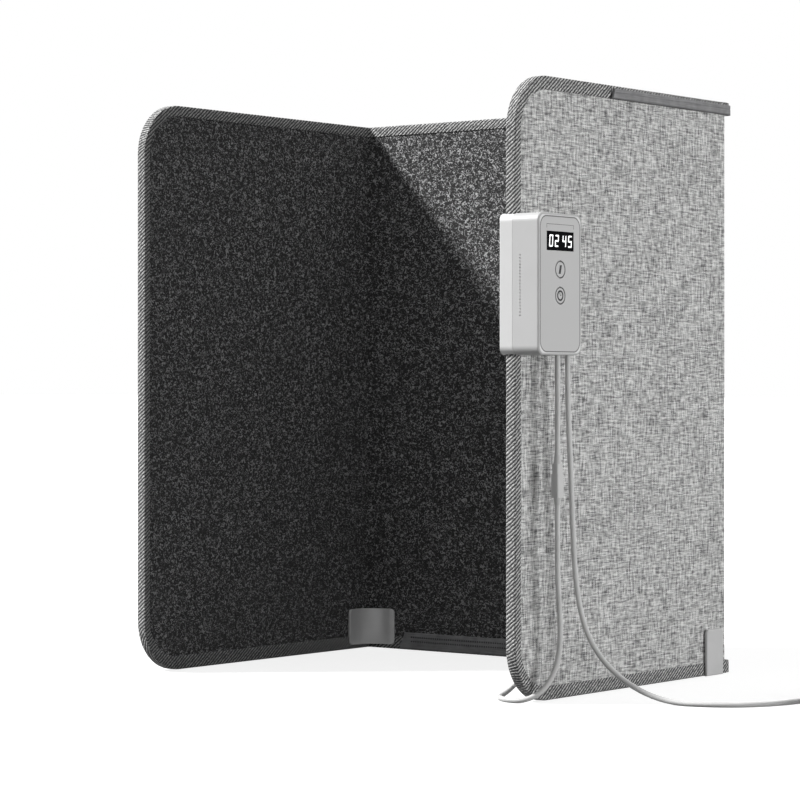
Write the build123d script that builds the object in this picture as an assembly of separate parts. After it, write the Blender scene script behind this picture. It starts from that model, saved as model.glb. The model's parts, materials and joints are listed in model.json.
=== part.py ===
from build123d import *
import os
from math import pi, radians, tan

os.makedirs("parts", exist_ok=True)

# A three-leaf heater that stands round the legs under a desk, in millimetres.
# The back leaf stands on the X axis. The side leaves fold about two upright creases.
# Origin: middle of the back leaf's foot. +Z is up, and the open front faces -Y.

# Driving sizes of the leaves
panel_height = 500.0
back_width = 390.0
side_depth = 315.0
corner_radius = 45.0
crease_gap = 5.2
end_gap = 2.0
overrun = 3.0

# Layers of a leaf, from the felt inside to the linen outside
felt_thickness = 2.0
film_thickness = 0.4
insulation_thickness = 0.8
board_thickness = 4.0
linen_thickness = 0.8
film_margin = 30.0
film_corner = 8.0

# Twill tape that binds the edges
tape_thickness = 0.8
tape_inside_width = 8.5
tape_outside_width = 10.5
tape_rounding = 2.0

# Depths of the layers, measured out from the crease
felt_face = crease_gap / 2
film_face = felt_face + felt_thickness
insulation_face = film_face + film_thickness
board_face = insulation_face + insulation_thickness
linen_seat = board_face + board_thickness
linen_face = linen_seat + linen_thickness
tape_inside_face = felt_face - tape_thickness
tape_outside_face = linen_face + tape_thickness

# Places of the creases and of the leaves' ends
fold_x = back_width / 2 - crease_gap / 2
fold_y = -(linen_face - felt_face) / 2 - crease_gap / 2
side_start = end_gap / 2
side_reach = side_depth - crease_gap / 2
back_reach = fold_x - end_gap / 2

# A leaf is drawn along X, with its depth along Y, and then put in its place
back_place = Pos(0, fold_y, 0)
right_place = Pos(fold_x, fold_y, 0) * Rot(0, 0, -90)


def save(name, solid):
    solid.label = name
    export_step(solid, f"parts/{name}.step")


def save_right(name, solid):
    save(name, right_place * solid)


def save_left(name, solid):
    save(name, mirror(right_place * solid, about=Plane.YZ))


def save_back(name, solid):
    save(name, back_place * solid)


def slab(outline, depth_from, depth_to):
    """Give an outline drawn along the leaf and up it a thickness between two depths."""
    return extrude(Plane.XZ.offset(-depth_from) * outline, amount=depth_from - depth_to)


def panel(x_from, x_to, z_from, z_to):
    """Draw a rectangle between two places along the leaf and two heights."""
    middle = Pos((x_from + x_to) / 2, (z_from + z_to) / 2)
    return middle * Rectangle(x_to - x_from, z_to - z_from)


def rod(x, z, radius, depth_from, depth_to):
    return slab(Pos(x, z) * Circle(radius), depth_from, depth_to)


def upright(profile, z_from, z_to):
    return extrude(Plane.XY.offset(z_from) * profile, amount=z_to - z_from)


def plan(x_from, x_to, y_from, y_to):
    middle = Pos((x_from + x_to) / 2, (y_from + y_to) / 2)
    return middle * Rectangle(x_to - x_from, y_to - y_from)


# Corner clips: a rubber corner inside each fold, held by plates with posts outside
clip_lift = 4.0
clip_top = 38.0
clip_wall = 2.4
clip_reach = 33.0
clip_tip = 0.5
clip_bevel = 5.0
clip_cove = 21.0
clip_corner = 4.0
plate_near = 5.0
plate_far = 32.0
plate_top = 40.0
plate_depth = 4.0
plate_corner = 4.0
plate_edge = 1.2
plate_shadow_width = 3.0
plate_shadow_depth = 1.6
post_radius = 1.6
post_clearance = 0.15
post_grip = 1.2
post_heights = (14.0, 29.0)
post_reach = clip_cove + clip_wall + post_radius
post_x = post_reach - crease_gap / 2
clip_seat = 0.1

# The leaves


def side_outline(inset):
    width = side_reach - inset - side_start
    outline = panel(side_start, side_start + width, inset, panel_height - inset)
    free_corners = outline.vertices().sort_by(Axis.X)[-2:]
    return fillet(free_corners, corner_radius - inset)


def back_outline(inset):
    return panel(-back_reach, back_reach, inset, panel_height - inset)


def film_outline(x_from, x_to, tails):
    """Draw a heating film with the tails that join it to what lies beside it."""
    outline = panel(x_from, x_to, film_margin, panel_height - film_margin)
    outline = fillet(outline.vertices(), film_corner)
    for tail in tails:
        outline += tail
    return outline


def sheets(outline, film, post_places):
    """Stack the flat layers of one leaf, with holes for the clip posts."""
    sheet_outline = outline(tape_thickness)
    layers = {
        "lining": slab(sheet_outline, felt_face, film_face),
        "heating_film": slab(film, film_face, insulation_face),
        "insulation": slab(sheet_outline, insulation_face, board_face),
        "board": slab(sheet_outline, board_face, linen_seat),
        "cover": slab(sheet_outline, linen_seat, linen_face),
    }
    for name in ("lining", "insulation", "board", "cover"):
        for x in post_places:
            for z in post_heights:
                hole_radius = post_radius + post_clearance
                layers[name] -= rod(x, z, hole_radius, tape_inside_face, tape_outside_face)
    return layers


# Flat leads join the films across the creases, low down
fold_lead_thickness = 1.0
fold_lead_width = 7.0
fold_lead_z = 60.0


def film_tail(x_from, x_to):
    return panel(x_from, x_to, fold_lead_z, fold_lead_z + fold_lead_width)


# The heater lead comes in through a grommet in the right leaf's felt
grommet_hole_radius = 4.0
grommet_fit = 0.2
grommet_flange = 1.2
grommet_flange_radius = 5.4
grommet_x = side_reach - 46.0
grommet_z = 23.4
lead_tail_half_width = 3.0

# The thermal cut-out sits in a pocket of the right board, near the lead's way in
cutout_length = 15.0
cutout_width = 8.0
cutout_depth = 3.4
cutout_corner = 2.0
cutout_clearance = 0.3
cutout_x = side_reach - 72.0
cutout_z = 52.0


def cutout_body(clearance):
    outline = RectangleRounded(
        cutout_length + 2 * clearance, cutout_width + 2 * clearance, cutout_corner + clearance
    )
    return slab(
        Pos(cutout_x, cutout_z) * outline,
        board_face,
        board_face + cutout_depth + clearance,
    )


film_start = side_start + film_margin
film_end = side_reach - film_margin
back_film_end = back_reach - film_margin
side_tail = film_tail(side_start, film_start + overrun)
back_tails = [
    film_tail(back_film_end - overrun, back_reach),
    film_tail(-back_reach, -back_film_end + overrun),
]
lead_tail = panel(
    grommet_x - lead_tail_half_width, grommet_x + lead_tail_half_width, grommet_z, film_margin + overrun
)
left_film = film_outline(film_start, film_end, [side_tail])
right_film = film_outline(film_start, film_end, [side_tail, lead_tail])
back_film = film_outline(-back_film_end, back_film_end, back_tails)
left_sheets = sheets(side_outline, left_film, (post_x,))
right_sheets = sheets(side_outline, right_film, (post_x,))
back_sheets = sheets(back_outline, back_film, (-fold_x + post_x, fold_x - post_x))

right_sheets["board"] -= cutout_body(cutout_clearance)
right_sheets["lining"] -= rod(grommet_x, grommet_z, grommet_hole_radius, felt_face, film_face)

for name, sheet in left_sheets.items():
    save_left(f"left_{name}", sheet)
for name, sheet in right_sheets.items():
    save_right(f"right_{name}", sheet)
for name, sheet in back_sheets.items():
    save_back(f"back_{name}", sheet)

save_right("thermal_cutout", cutout_body(0))

# Edge tape: one folded section, run along the edges and round the creases


def tape_section():
    """Draw the folded tape: depth across, distance in from the leaf's edge up."""
    outside = plan(tape_inside_face, tape_outside_face, 0, tape_outside_width)
    outside = fillet(outside.vertices().sort_by(Axis.Y)[:2], tape_rounding)
    filling = plan(felt_face, linen_face, tape_thickness, tape_outside_width + overrun)
    short_leg = plan(
        tape_inside_face - overrun, felt_face, tape_inside_width, tape_outside_width + overrun
    )
    return outside - filling - short_leg


def across(x):
    """Give the plane that cuts the leaf at x, with depth across and height up."""
    return Plane(origin=(x, 0, 0), x_dir=(0, 1, 0), z_dir=(1, 0, 0))


def to_top(solid):
    return mirror(solid, about=Plane.XY.offset(panel_height / 2))


def along_leaf(section, x_from, x_to):
    return extrude(across(x_from) * section, amount=x_to - x_from)


def round_crease(section):
    """Carry a section of depth and height round the right-hand crease."""
    path = FilletPolyline(
        (-side_start, linen_face, 0),
        (linen_face, linen_face, 0),
        (linen_face, -side_start, 0),
        radius=linen_face,
    )
    return Pos(fold_x, fold_y, 0) * sweep(across(-side_start) * section, path=path)


edge_path = FilletPolyline(
    (side_start, 0, 0),
    (side_reach, 0, 0),
    (side_reach, 0, panel_height),
    (side_start, 0, panel_height),
    radius=corner_radius,
)
side_binding = sweep(across(side_start) * tape_section(), path=edge_path)
back_binding = along_leaf(tape_section(), -back_reach, back_reach)
crease_binding = round_crease(tape_section())

save_right("right_binding", side_binding)
save_left("left_binding", side_binding)
save_back("back_binding", Compound([back_binding, to_top(back_binding)]))

# Zip tape along the top of the outside, for a cover, and along the foot of the back
zip_thickness = 1.2
zip_width = 8.5
zip_drop = 1.8
zip_start = 174.0
zip_ridge = 0.5
zip_stop_length = 3.0
zip_stop_thickness = 1.8


def zip_section():
    middle = panel_height - zip_drop - zip_width / 2
    tape = plan(
        tape_outside_face,
        tape_outside_face + zip_thickness,
        middle - zip_width / 2,
        middle + zip_width / 2,
    )
    ridge = Pos(tape_outside_face + zip_thickness, middle - zip_width / 6) * Circle(zip_ridge)
    return tape + ridge


zip_stop = along_leaf(
    plan(
        tape_outside_face,
        tape_outside_face + zip_stop_thickness,
        panel_height - zip_drop - zip_width,
        panel_height - zip_drop,
    ),
    zip_start,
    zip_start + zip_stop_length,
)
side_zip = Compound([along_leaf(zip_section(), side_start, zip_start), zip_stop])
save_right("right_cover_zip", side_zip)
save_left("left_cover_zip", side_zip)
save_back("back_cover_zip", along_leaf(zip_section(), -back_reach, back_reach))

mat_zip_clip_gap = 12.0
mat_zip_reach = back_width / 2 - clip_reach - mat_zip_clip_gap
mat_zip_slant = 7.0
mat_zip_bottom = 0.6
mat_zip_width = 16.0
mat_zip_ridge_share = 0.55


def mat_zip_outline(z_from, z_to):
    """Draw the strip between two heights, its ends cut on the slant."""

    def reach(z):
        return mat_zip_reach + mat_zip_slant * (mat_zip_bottom + mat_zip_width - z) / mat_zip_width

    corners = [
        (-reach(z_from), z_from),
        (reach(z_from), z_from),
        (reach(z_to), z_to),
        (-reach(z_to), z_to),
    ]
    return make_face(Polyline(*corners, close=True))


mat_zip_top = mat_zip_bottom + mat_zip_width
mat_zip = slab(
    mat_zip_outline(mat_zip_bottom, mat_zip_top), tape_inside_face - zip_thickness, tape_inside_face
)
mat_zip += slab(
    mat_zip_outline(tape_inside_width + clip_seat, mat_zip_top), tape_inside_face, felt_face
)
mat_zip_ridge_z = mat_zip_bottom + mat_zip_width * mat_zip_ridge_share
mat_zip += along_leaf(
    Pos(tape_inside_face - zip_thickness, mat_zip_ridge_z) * Circle(zip_ridge),
    -mat_zip_reach,
    mat_zip_reach,
)
save_back("mat_zip", mat_zip)

# The creases: felt and linen run on from leaf to leaf, with a flat lead between them
sheet_bottom = tape_thickness
sheet_top = panel_height - tape_thickness

crease_lining = round_crease(plan(felt_face, film_face, sheet_bottom, sheet_top))
crease_cover = round_crease(plan(linen_seat, linen_face, sheet_bottom, sheet_top))
crease_trim = Compound([crease_binding, to_top(crease_binding), round_crease(zip_section())])
crease_lead = round_crease(
    plan(film_face, film_face + fold_lead_thickness, fold_lead_z, fold_lead_z + fold_lead_width)
)
crease_pieces = {
    "fold_lining": crease_lining,
    "fold_cover": crease_cover,
    "fold_trim": crease_trim,
    "fold_lead": crease_lead,
}
for name, piece in crease_pieces.items():
    save(f"right_{name}", piece)
    save(f"left_{name}", mirror(piece, about=Plane.YZ))


# Corner clips


def rounding_cutter(x, z, side_x, side_z, radius, depth_from, depth_to):
    """Make the sliver that rounds a plate's corner, side_x and side_z pointing out of it."""
    square = panel(0, radius + overrun, 0, radius + overrun)
    sliver = square - Circle(radius)
    placed = Pos(x - side_x * radius, z - side_z * radius) * scale(sliver, by=(side_x, side_z, 1))
    return slab(placed, depth_from, depth_to)


def clip_section():
    """Draw half of the clip against one leaf, from the fold's inner corner out."""
    reach = clip_reach
    cove_end = clip_cove + clip_wall
    outline = [
        Line((cove_end, 0), (reach, 0)),
        Line((reach, 0), (reach, clip_tip)),
        Line((reach, clip_tip), (reach - clip_bevel, clip_wall)),
        Line((reach - clip_bevel, clip_wall), (cove_end, clip_wall)),
        RadiusArc((cove_end, clip_wall), (clip_wall, cove_end), clip_cove),
        Line((clip_wall, cove_end), (clip_wall, reach - clip_bevel)),
        Line((clip_wall, reach - clip_bevel), (clip_tip, reach)),
        Line((clip_tip, reach), (0, reach)),
        Line((0, reach), (0, cove_end)),
        RadiusArc((0, cove_end), (cove_end, 0), -cove_end),
    ]
    return make_face(Wire(outline))


def corner_clip():
    """Build the clip in the corner of X and Y, open towards plus X and plus Y."""
    clip = upright(Pos(clip_seat, clip_seat) * clip_section(), clip_lift, clip_top)
    cutters = [
        rounding_cutter(clip_reach + clip_seat, end_z, 1, side_z, clip_corner, 0, clip_wall + overrun)
        for end_z, side_z in ((clip_top, 1), (clip_lift, -1))
    ]
    step_height = tape_inside_width + clip_seat - clip_lift
    step = Box(
        clip_reach + overrun,
        tape_thickness + 2 * clip_seat,
        step_height,
        align=(Align.MIN, Align.MIN, Align.MIN),
    )
    cutters.append(Pos(0, 0, clip_lift) * step)
    for z in post_heights:
        bore_depth = post_grip + 2 * clip_seat
        cutters.append(rod(post_reach, z, post_radius + post_clearance, 0, bore_depth))
    diagonal = Plane((0, 0, 0), x_dir=(1, 1, 0), z_dir=(1, -1, 0))
    for cutter in cutters:
        clip -= cutter
        clip -= mirror(cutter, about=diagonal)
    return clip


def clip_plate():
    """Build the outside plate of a clip with its two posts, on the right leaf."""
    outline = panel(plate_near, plate_far, 0, plate_top)
    outline = fillet(outline.vertices().sort_by(Axis.Y)[-2:], plate_corner)
    plate = slab(outline, linen_face, linen_face + plate_depth)
    front_edges = plate.faces().sort_by(Axis.Y)[-1].edges()
    plate = fillet(front_edges, plate_edge)
    plate -= slab(
        panel(plate_near - overrun, plate_far + overrun, -overrun, tape_outside_width + clip_seat),
        linen_face - overrun,
        tape_outside_face,
    )
    plate -= slab(
        panel(plate_far - plate_shadow_width, plate_far + overrun, -overrun, plate_top + overrun),
        linen_face - overrun,
        linen_face + plate_shadow_depth,
    )
    for z in post_heights:
        plate += rod(post_x, z, post_radius, felt_face - post_grip, linen_face + overrun)
    return plate


corner_x = back_width / 2
corner_y = fold_y + felt_face
right_clip = Pos(corner_x, corner_y, 0) * Rot(0, 0, 180) * corner_clip()
save("right_corner_clip", right_clip)
save("left_corner_clip", mirror(right_clip, about=Plane.YZ))
save_right("right_clip_plate", clip_plate())
save_left("left_clip_plate", clip_plate())
back_plate = Pos(fold_x, 0, 0) * mirror(clip_plate(), about=Plane.YZ)
save_back("back_clip_plates", Compound([back_plate, mirror(back_plate, about=Plane.YZ)]))

# Control box: it hooks over the free edge of the right leaf
case_width = 60.0
case_height = 112.0
case_bottom = 276.0
case_depth = 26.0
case_corner = 7.0
case_edge = 1.6
case_wall = 2.0
case_fit = 0.2
hook_clearance = 0.3
hook_wall = 4.0
hook_reach = 24.0
jaw_thickness = 2.8
jaw_corner = 1.2
plate_wall = 2.0

case_far = side_reach + hook_clearance + hook_wall
case_near = case_far - case_width
case_x = (case_far + case_near) / 2
case_z = case_bottom + case_height / 2
case_top = case_bottom + case_height
case_seat = tape_outside_face + case_fit
case_front = linen_face + case_depth
plate_front = case_seat + plate_wall
wall_inside = case_front - case_wall

# Control panel: window, two keys, and the overlay round them
overlay_thickness = 0.5
overlay_margin = 1.5
window_width = 37.0
window_height = 15.0
window_top_drop = 14.5
window_fit = 0.15
key_radius = 6.8
key_fit = 0.3
key_drop = (44.4, 65.0)
key_flange = 1.4
key_flange_thickness = 1.0
key_seat = 0.1
key_edge = 0.5
key_stem_radius = 1.6
key_stem_length = 0.5
key_travel = 0.6
window_z = case_top - window_top_drop - window_height / 2
key_heights = [case_top - drop for drop in key_drop]

# Circuit board and what it carries, stacked back from the keys
switch_width = 6.0
switch_depth = 3.5
switch_button_radius = 1.7
switch_button_depth = 1.0
key_flange_front = wall_inside - key_seat
key_flange_back = key_flange_front - key_flange_thickness
key_stem_end = key_flange_back - key_stem_length
switch_front = key_stem_end - key_seat - key_travel - switch_button_depth
circuit_front = switch_front - switch_depth
circuit_thickness = 1.6
circuit_back = circuit_front - circuit_thickness
circuit_margin = 2.2
display_fit = 0.2
relay_width = 19.0
relay_height = 15.5
relay_depth = 10.5
relay_edge = 0.8
relay_below_key = 9.0
relay_x = case_x - 12.0
relay_z = key_heights[1] - relay_below_key
capacitor_radius = 4.0
capacitor_length = 13.0
capacitor_below_key = 2.0
capacitor_x = case_x + 14.0
capacitor_z = key_heights[1] - capacitor_below_key

# Screws and their bosses
boss_radius = 2.8
boss_inset = 6.4
pilot_depth = 8.0
screw_radius = 1.1
screw_fit = 0.05
screw_length = 8.0
screw_head_radius = 2.4
screw_head_depth = 1.0
screw_slot = 0.5
screw_slot_share = 0.6

# Vents in the case's end wall
vent_count = 20
vent_pitch = 2.5
vent_radius = 0.6
vent_depth = linen_face + 8.4
vent_middle = case_bottom + 55.0

# Cable exits in the bottom of the case
cord_radius = 2.2
exit_depth = linen_face + 19.5
lead_exit_x = case_near + 24.5
mains_exit_x = case_near + 10.3
gland_radius = 2.9
gland_flange_radius = 3.3
gland_flange = 1.2
gland_fit = 0.1


def case_outline(inset):
    return Pos(case_x, case_z) * RectangleRounded(
        case_width - 2 * inset, case_height - 2 * inset, case_corner - inset
    )


def window_outline(margin):
    return Pos(case_x, window_z) * Rectangle(
        window_width + 2 * margin, window_height + 2 * margin
    )


boss_places = [
    (case_x + side_x * (case_width / 2 - boss_inset), case_z + side_z * (case_height / 2 - boss_inset))
    for side_x in (-1, 1)
    for side_z in (-1, 1)
]


def drill_down(x, depth, radius, z_from, z_to):
    return upright(Pos(x, depth) * Circle(radius), z_from, z_to)


def case_front_shell():
    shell = slab(case_outline(0), case_seat, case_front)
    shell = fillet(shell.faces().sort_by(Axis.Y)[-1].edges(), case_edge)
    shell -= slab(case_outline(case_wall), case_seat - overrun, wall_inside)
    for x, z in boss_places:
        shell += rod(x, z, boss_radius, plate_front, wall_inside + overlay_thickness)
        shell -= rod(x, z, screw_radius + screw_fit, plate_front - overrun, plate_front + pilot_depth)
    shell -= slab(case_outline(overlay_margin), case_front - overlay_thickness, case_front + overrun)
    shell -= slab(window_outline(window_fit), wall_inside - overrun, case_front + overrun)
    for z in key_heights:
        shell -= rod(case_x, z, key_radius + key_fit, wall_inside - overrun, case_front + overrun)
    for number in range(vent_count):
        z = vent_middle + (number - (vent_count - 1) / 2) * vent_pitch
        vent = Pos(vent_depth, z) * Circle(vent_radius)
        shell -= along_leaf(vent, case_far - case_wall - overrun, case_far + overrun)
    wall_end = case_bottom + case_wall + overrun
    for x in (lead_exit_x, mains_exit_x):
        shell -= drill_down(x, exit_depth, gland_radius + gland_fit, case_bottom - overrun, wall_end)
    return shell


def case_back_hook():
    """Build the closing plate with the hook that grips the leaf's free edge."""
    hook_inside = side_reach + hook_clearance
    jaw_face = tape_inside_face - case_fit
    step_x = case_far - case_wall - case_fit
    profile = plan(hook_inside, case_far, jaw_face - jaw_thickness, case_seat - case_fit)
    profile += plan(case_far - hook_reach, case_far, jaw_face - jaw_thickness, jaw_face)
    profile = fillet(profile.vertices().sort_by(Axis.Y)[:2], jaw_corner)
    profile += plan(hook_inside, step_x, case_seat - case_fit - case_fit, plate_front)
    hook = upright(profile, case_bottom, case_top)
    rounded = slab(case_outline(0), jaw_face - jaw_thickness - overrun, case_seat - case_fit)
    nested = slab(case_outline(case_wall + case_fit), case_seat - 2 * case_fit, plate_front)
    hook = hook & (rounded + nested)
    hook += slab(case_outline(case_wall + case_fit), case_seat, plate_front)
    for x, z in boss_places:
        hook -= rod(x, z, screw_radius + case_fit, case_seat - overrun, plate_front + overrun)
        head_seat = case_seat + screw_head_depth
        hook -= rod(x, z, screw_head_radius + case_fit, case_seat - hook_clearance, head_seat)
    return hook


def case_screw(x, z):
    head_seat = case_seat + screw_head_depth
    screw = rod(x, z, screw_head_radius, case_seat, head_seat)
    screw += rod(x, z, screw_radius, head_seat, head_seat + screw_length)
    slot_half = screw_slot / 2
    slot_reach = screw_head_radius * screw_slot_share
    for half_x, half_z in ((slot_reach, slot_half), (slot_half, slot_reach)):
        slot = panel(x - half_x, x + half_x, z - half_z, z + half_z)
        screw -= slab(slot, case_seat - overrun, case_seat + screw_slot)
    return screw


def overlay_sheet():
    sheet = slab(case_outline(overlay_margin + window_fit), case_front - overlay_thickness, case_front)
    sheet -= slab(window_outline(window_fit), case_front - overrun, case_front + overrun)
    for z in key_heights:
        sheet -= rod(case_x, z, key_radius + key_fit, case_front - overrun, case_front + overrun)
    return sheet


def key(z):
    cap = rod(case_x, z, key_radius, key_flange_back, case_front)
    cap = fillet(cap.faces().sort_by(Axis.Y)[-1].edges(), key_edge)
    cap += rod(case_x, z, key_radius + key_flange, key_flange_back, key_flange_front)
    return cap + rod(case_x, z, key_stem_radius, key_stem_end, key_flange_back)


def key_switch(z):
    body = slab(Pos(case_x, z) * Rectangle(switch_width, switch_width), circuit_front, switch_front)
    button_front = switch_front + switch_button_depth
    return body + rod(case_x, z, switch_button_radius, switch_front, button_front)


def circuit_board():
    board = slab(case_outline(case_wall + circuit_margin), circuit_back, circuit_front)
    for x, z in boss_places:
        board -= rod(x, z, boss_radius + case_fit, circuit_back - overrun, circuit_front + overrun)
    return board


def relay():
    outline = Pos(relay_x, relay_z) * Rectangle(relay_width, relay_height)
    body = slab(outline, circuit_back - relay_depth, circuit_back)
    return fillet(body.faces().sort_by(Axis.Y)[0].edges(), relay_edge)


def capacitor():
    """Build the can, lying on its side against the circuit board."""
    can = drill_down(
        capacitor_x,
        circuit_back - capacitor_radius,
        capacitor_radius,
        capacitor_z - capacitor_length / 2,
        capacitor_z + capacitor_length / 2,
    )
    return fillet(can.edges().filter_by(GeomType.CIRCLE), relay_edge)


def gland(x):
    """Build the collar that the cord leaves the case through, flanged inside the wall."""
    inside = case_bottom + case_wall
    collar = drill_down(x, exit_depth, gland_radius, case_bottom, inside)
    return collar + drill_down(x, exit_depth, gland_flange_radius, inside, inside + gland_flange)


save_right("control_case_front", case_front_shell())
save_right("control_case_hook", case_back_hook())
save_right("control_overlay", overlay_sheet())
save_right("display_window", slab(window_outline(0), wall_inside, case_front))
save_right("display_module", slab(window_outline(-display_fit), circuit_front, wall_inside))
save_right("power_key", key(key_heights[0]))
save_right("timer_key", key(key_heights[1]))
save_right("key_switches", Compound([key_switch(z) for z in key_heights]))
save_right("circuit_board", circuit_board())
save_right("relay", relay())
save_right("capacitor", capacitor())
save_right("case_screws", Compound([case_screw(x, z) for x, z in boss_places]))
save_right("heater_lead_gland", gland(lead_exit_x))
save_right("mains_cord_gland", gland(mains_exit_x))

# Cords. Each route is a list of points, joined by arcs as large as its runs allow
cord_run_share = 0.45


def corner_radii(points):
    """Give the arc at each inner point, from the shorter of the two runs beside it."""
    vectors = [Vector(*point) for point in points]
    radii = []
    for before, corner, after in zip(vectors, vectors[1:], vectors[2:]):
        run_in = corner - before
        run_out = after - corner
        shorter = min(run_in.length, run_out.length)
        half_turn = radians(run_in.get_angle(run_out)) / 2
        radii.append(cord_run_share * shorter / tan(half_turn))
    return radii


def report_tube(name, tube, length):
    volume_share = tube.volume / (pi * cord_radius**2 * length)
    print(name, "length", round(length, 1), "volume against section", round(volume_share, 4))


def cord(name, points):
    """Sweep a cord's round section along straight runs joined by tangent arcs."""
    radii = corner_radii(points)
    path = FilletPolyline(*points, radius=radii)
    start = Vector(*points[0])
    tube = sweep(Plane(start, z_dir=Vector(*points[1]) - start) * Circle(cord_radius), path=path)
    report_tube(name, tube, path.length)
    print("  radii", [round(value, 1) for value in radii])
    save(name, tube)
    return path.length


# The heater lead hangs from the box to an inline connector, and on to the leaf's inside
exit_x = fold_x + exit_depth
lead_exit_y = fold_y - lead_exit_x
mains_exit_y = fold_y - mains_exit_x

# Inline connector: a plug pushed into a socket, with a tapered sleeve at each end
connector_top = 197.0
connector_joint = 175.0
connector_bottom = 157.5
connector_width = 9.0
connector_depth = 7.0
connector_edge = 1.2
connector_neck = 8.0
socket_sleeve = 7.0
plug_sleeve = 5.5
sleeve_radius = 3.1
sleeve_tip_radius = 2.5
connector_shoulder = connector_top - socket_sleeve - connector_neck


def connector_block(inset, z_from, z_to):
    outline = RectangleRounded(connector_depth - inset, connector_width - inset, connector_edge)
    return upright(Pos(exit_x, lead_exit_y) * outline, z_from, z_to)


def connector_sleeve(z_wide, z_tip):
    low_radius, high_radius = sleeve_radius, sleeve_tip_radius
    if z_tip < z_wide:
        low_radius, high_radius = sleeve_tip_radius, sleeve_radius
    low = Plane((exit_x, lead_exit_y, min(z_wide, z_tip))) * Circle(low_radius)
    high = Plane((exit_x, lead_exit_y, max(z_wide, z_tip))) * Circle(high_radius)
    return loft([low, high])


socket = connector_block(0, connector_joint, connector_shoulder)
socket += connector_block(connector_edge, connector_shoulder, connector_shoulder + connector_neck)
socket += connector_sleeve(connector_shoulder + connector_neck, connector_top)
save("connector_socket", socket)

plug = connector_block(0, connector_bottom + plug_sleeve, connector_joint)
plug += connector_sleeve(connector_bottom + plug_sleeve, connector_bottom)
save("connector_plug", plug)

floor_z = cord_radius
grommet_y = fold_y - grommet_x
grommet_mouth = fold_x + felt_face - grommet_flange
upper_lead_length = cord("heater_lead_upper", [
    (exit_x, lead_exit_y, case_bottom),
    (exit_x, lead_exit_y, 256.0),
    (223.2, -288.4, 236.5),
    (exit_x, lead_exit_y, 217.0),
    (exit_x, lead_exit_y, connector_top),
])
lower_lead_length = cord("heater_lead_lower", [
    (exit_x, lead_exit_y, connector_bottom),
    (exit_x, lead_exit_y, 132.0),
    (223.2, -287.2, 106.0),
    (222.9, -285.6, 80.0),
    (222.3, -284.6, 55.0),
    (221.0, -286.8, 34.0),
    (217.4, -292.2, 17.5),
    (211.2, -299.8, 6.5),
    (200.8, -306.4, floor_z),
    (187.0, -307.2, floor_z),
    (175.2, -301.4, 4.6),
    (169.6, -290.6, 9.8),
    (172.2, -280.5, 17.5),
    (181.0, grommet_y, grommet_z),
    (grommet_mouth, grommet_y, grommet_z),
])

grommet = rod(grommet_x, grommet_z, grommet_flange_radius, felt_face - grommet_flange, felt_face)
grommet = fillet(grommet.faces().sort_by(Axis.Y)[0].edges(), grommet_flange / 2)
grommet += rod(grommet_x, grommet_z, grommet_hole_radius - grommet_fit, felt_face, film_face)
save_right("lead_grommet", grommet)

# Mains cord: its end is put away as a coil of two layers, beside the heater on the floor
coil_x = 412.0
coil_y = -110.0
coil_across = 52.8
coil_pitch = 5.4
coil_layer_pitch = 4.95
coil_climb_inset = 0.6
coil_half_turns = 7
coil_steps = 24
coil_outer = coil_across / 2 + coil_half_turns * coil_pitch / 4
coil_reaches = [coil_outer - number * coil_pitch / 2 for number in range(coil_half_turns + 1)]
coil_reaches[-1] -= coil_climb_inset
coil_top_z = floor_z + coil_layer_pitch


def coil_crossings():
    """List where the turns cross the line through the coil's middle, in and then out again."""
    places = [(reach, floor_z) for reach in coil_reaches]
    places += [(reach, coil_top_z) for reach in reversed(coil_reaches)]
    return [
        Vector(coil_x + (-1) ** (number + 1) * reach, coil_y, z)
        for number, (reach, z) in enumerate(places)
    ]


def half_turn(number, start, end):
    """Arc through half a circle, behind the line for even turns and in front for odd ones."""
    radius = (end - start).length / 2
    top = (start + end) / 2 + Vector(0, (-1) ** number * radius, 0)
    return ThreePointArc(start, top, end)


def least_self_gap(edges):
    """Measure the least space between turns, skipping what lies along the cord nearby."""
    points = []
    travelled = 0.0
    for edge in edges:
        for step in range(coil_steps):
            share = step / coil_steps
            points.append((travelled + edge.length * share, edge @ share))
        travelled += edge.length
    least = min(
        (other - point).length
        for number, (place, point) in enumerate(points)
        for other_place, other in points[number + 1:]
        if other_place - place > coil_across
    )
    return least - 2 * cord_radius


crossings = coil_crossings()
turns = [half_turn(number, *ends) for number, ends in enumerate(zip(crossings, crossings[1:]))]
coil_start = crossings[0] - Vector(0, 2 * cord_radius, 0)
coil_end = crossings[-1] - Vector(0, 2 * cord_radius, 0)
coil_path = Wire([Line(coil_start, crossings[0]).edge()] + [turn.edge() for turn in turns]
                 + [Line(crossings[-1], coil_end).edge()])
coil = sweep(Plane(coil_start, z_dir=(0, 1, 0)) * Circle(cord_radius), path=coil_path)
coil_length = coil_path.length
report_tube("mains_cord_coil", coil, coil_length)
print("  least gap between turns", round(least_self_gap(turns), 2))
save("mains_cord_coil", coil)

mains_length = cord("mains_cord", [
    (exit_x, mains_exit_y, case_bottom),
    (exit_x, mains_exit_y, 247.0),
    (222.9, -272.6, 219.0),
    (223.1, -270.6, 190.0),
    (223.2, -268.2, 162.0),
    (223.5, -265.6, 134.0),
    (224.4, -261.8, 102.0),
    (229.0, -257.8, 73.0),
    (239.4, -253.4, 48.0),
    (257.0, -250.0, 27.0),
    (279.0, -246.6, 11.0),
    (303.0, -243.4, floor_z),
    (330.0, -238.6, floor_z),
    (354.0, -222.5, floor_z),
    (369.0, -196.5, floor_z),
    (375.0, -168.0, floor_z),
    (coil_start.X, -141.0, floor_z),
    tuple(coil_start),
])

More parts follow.
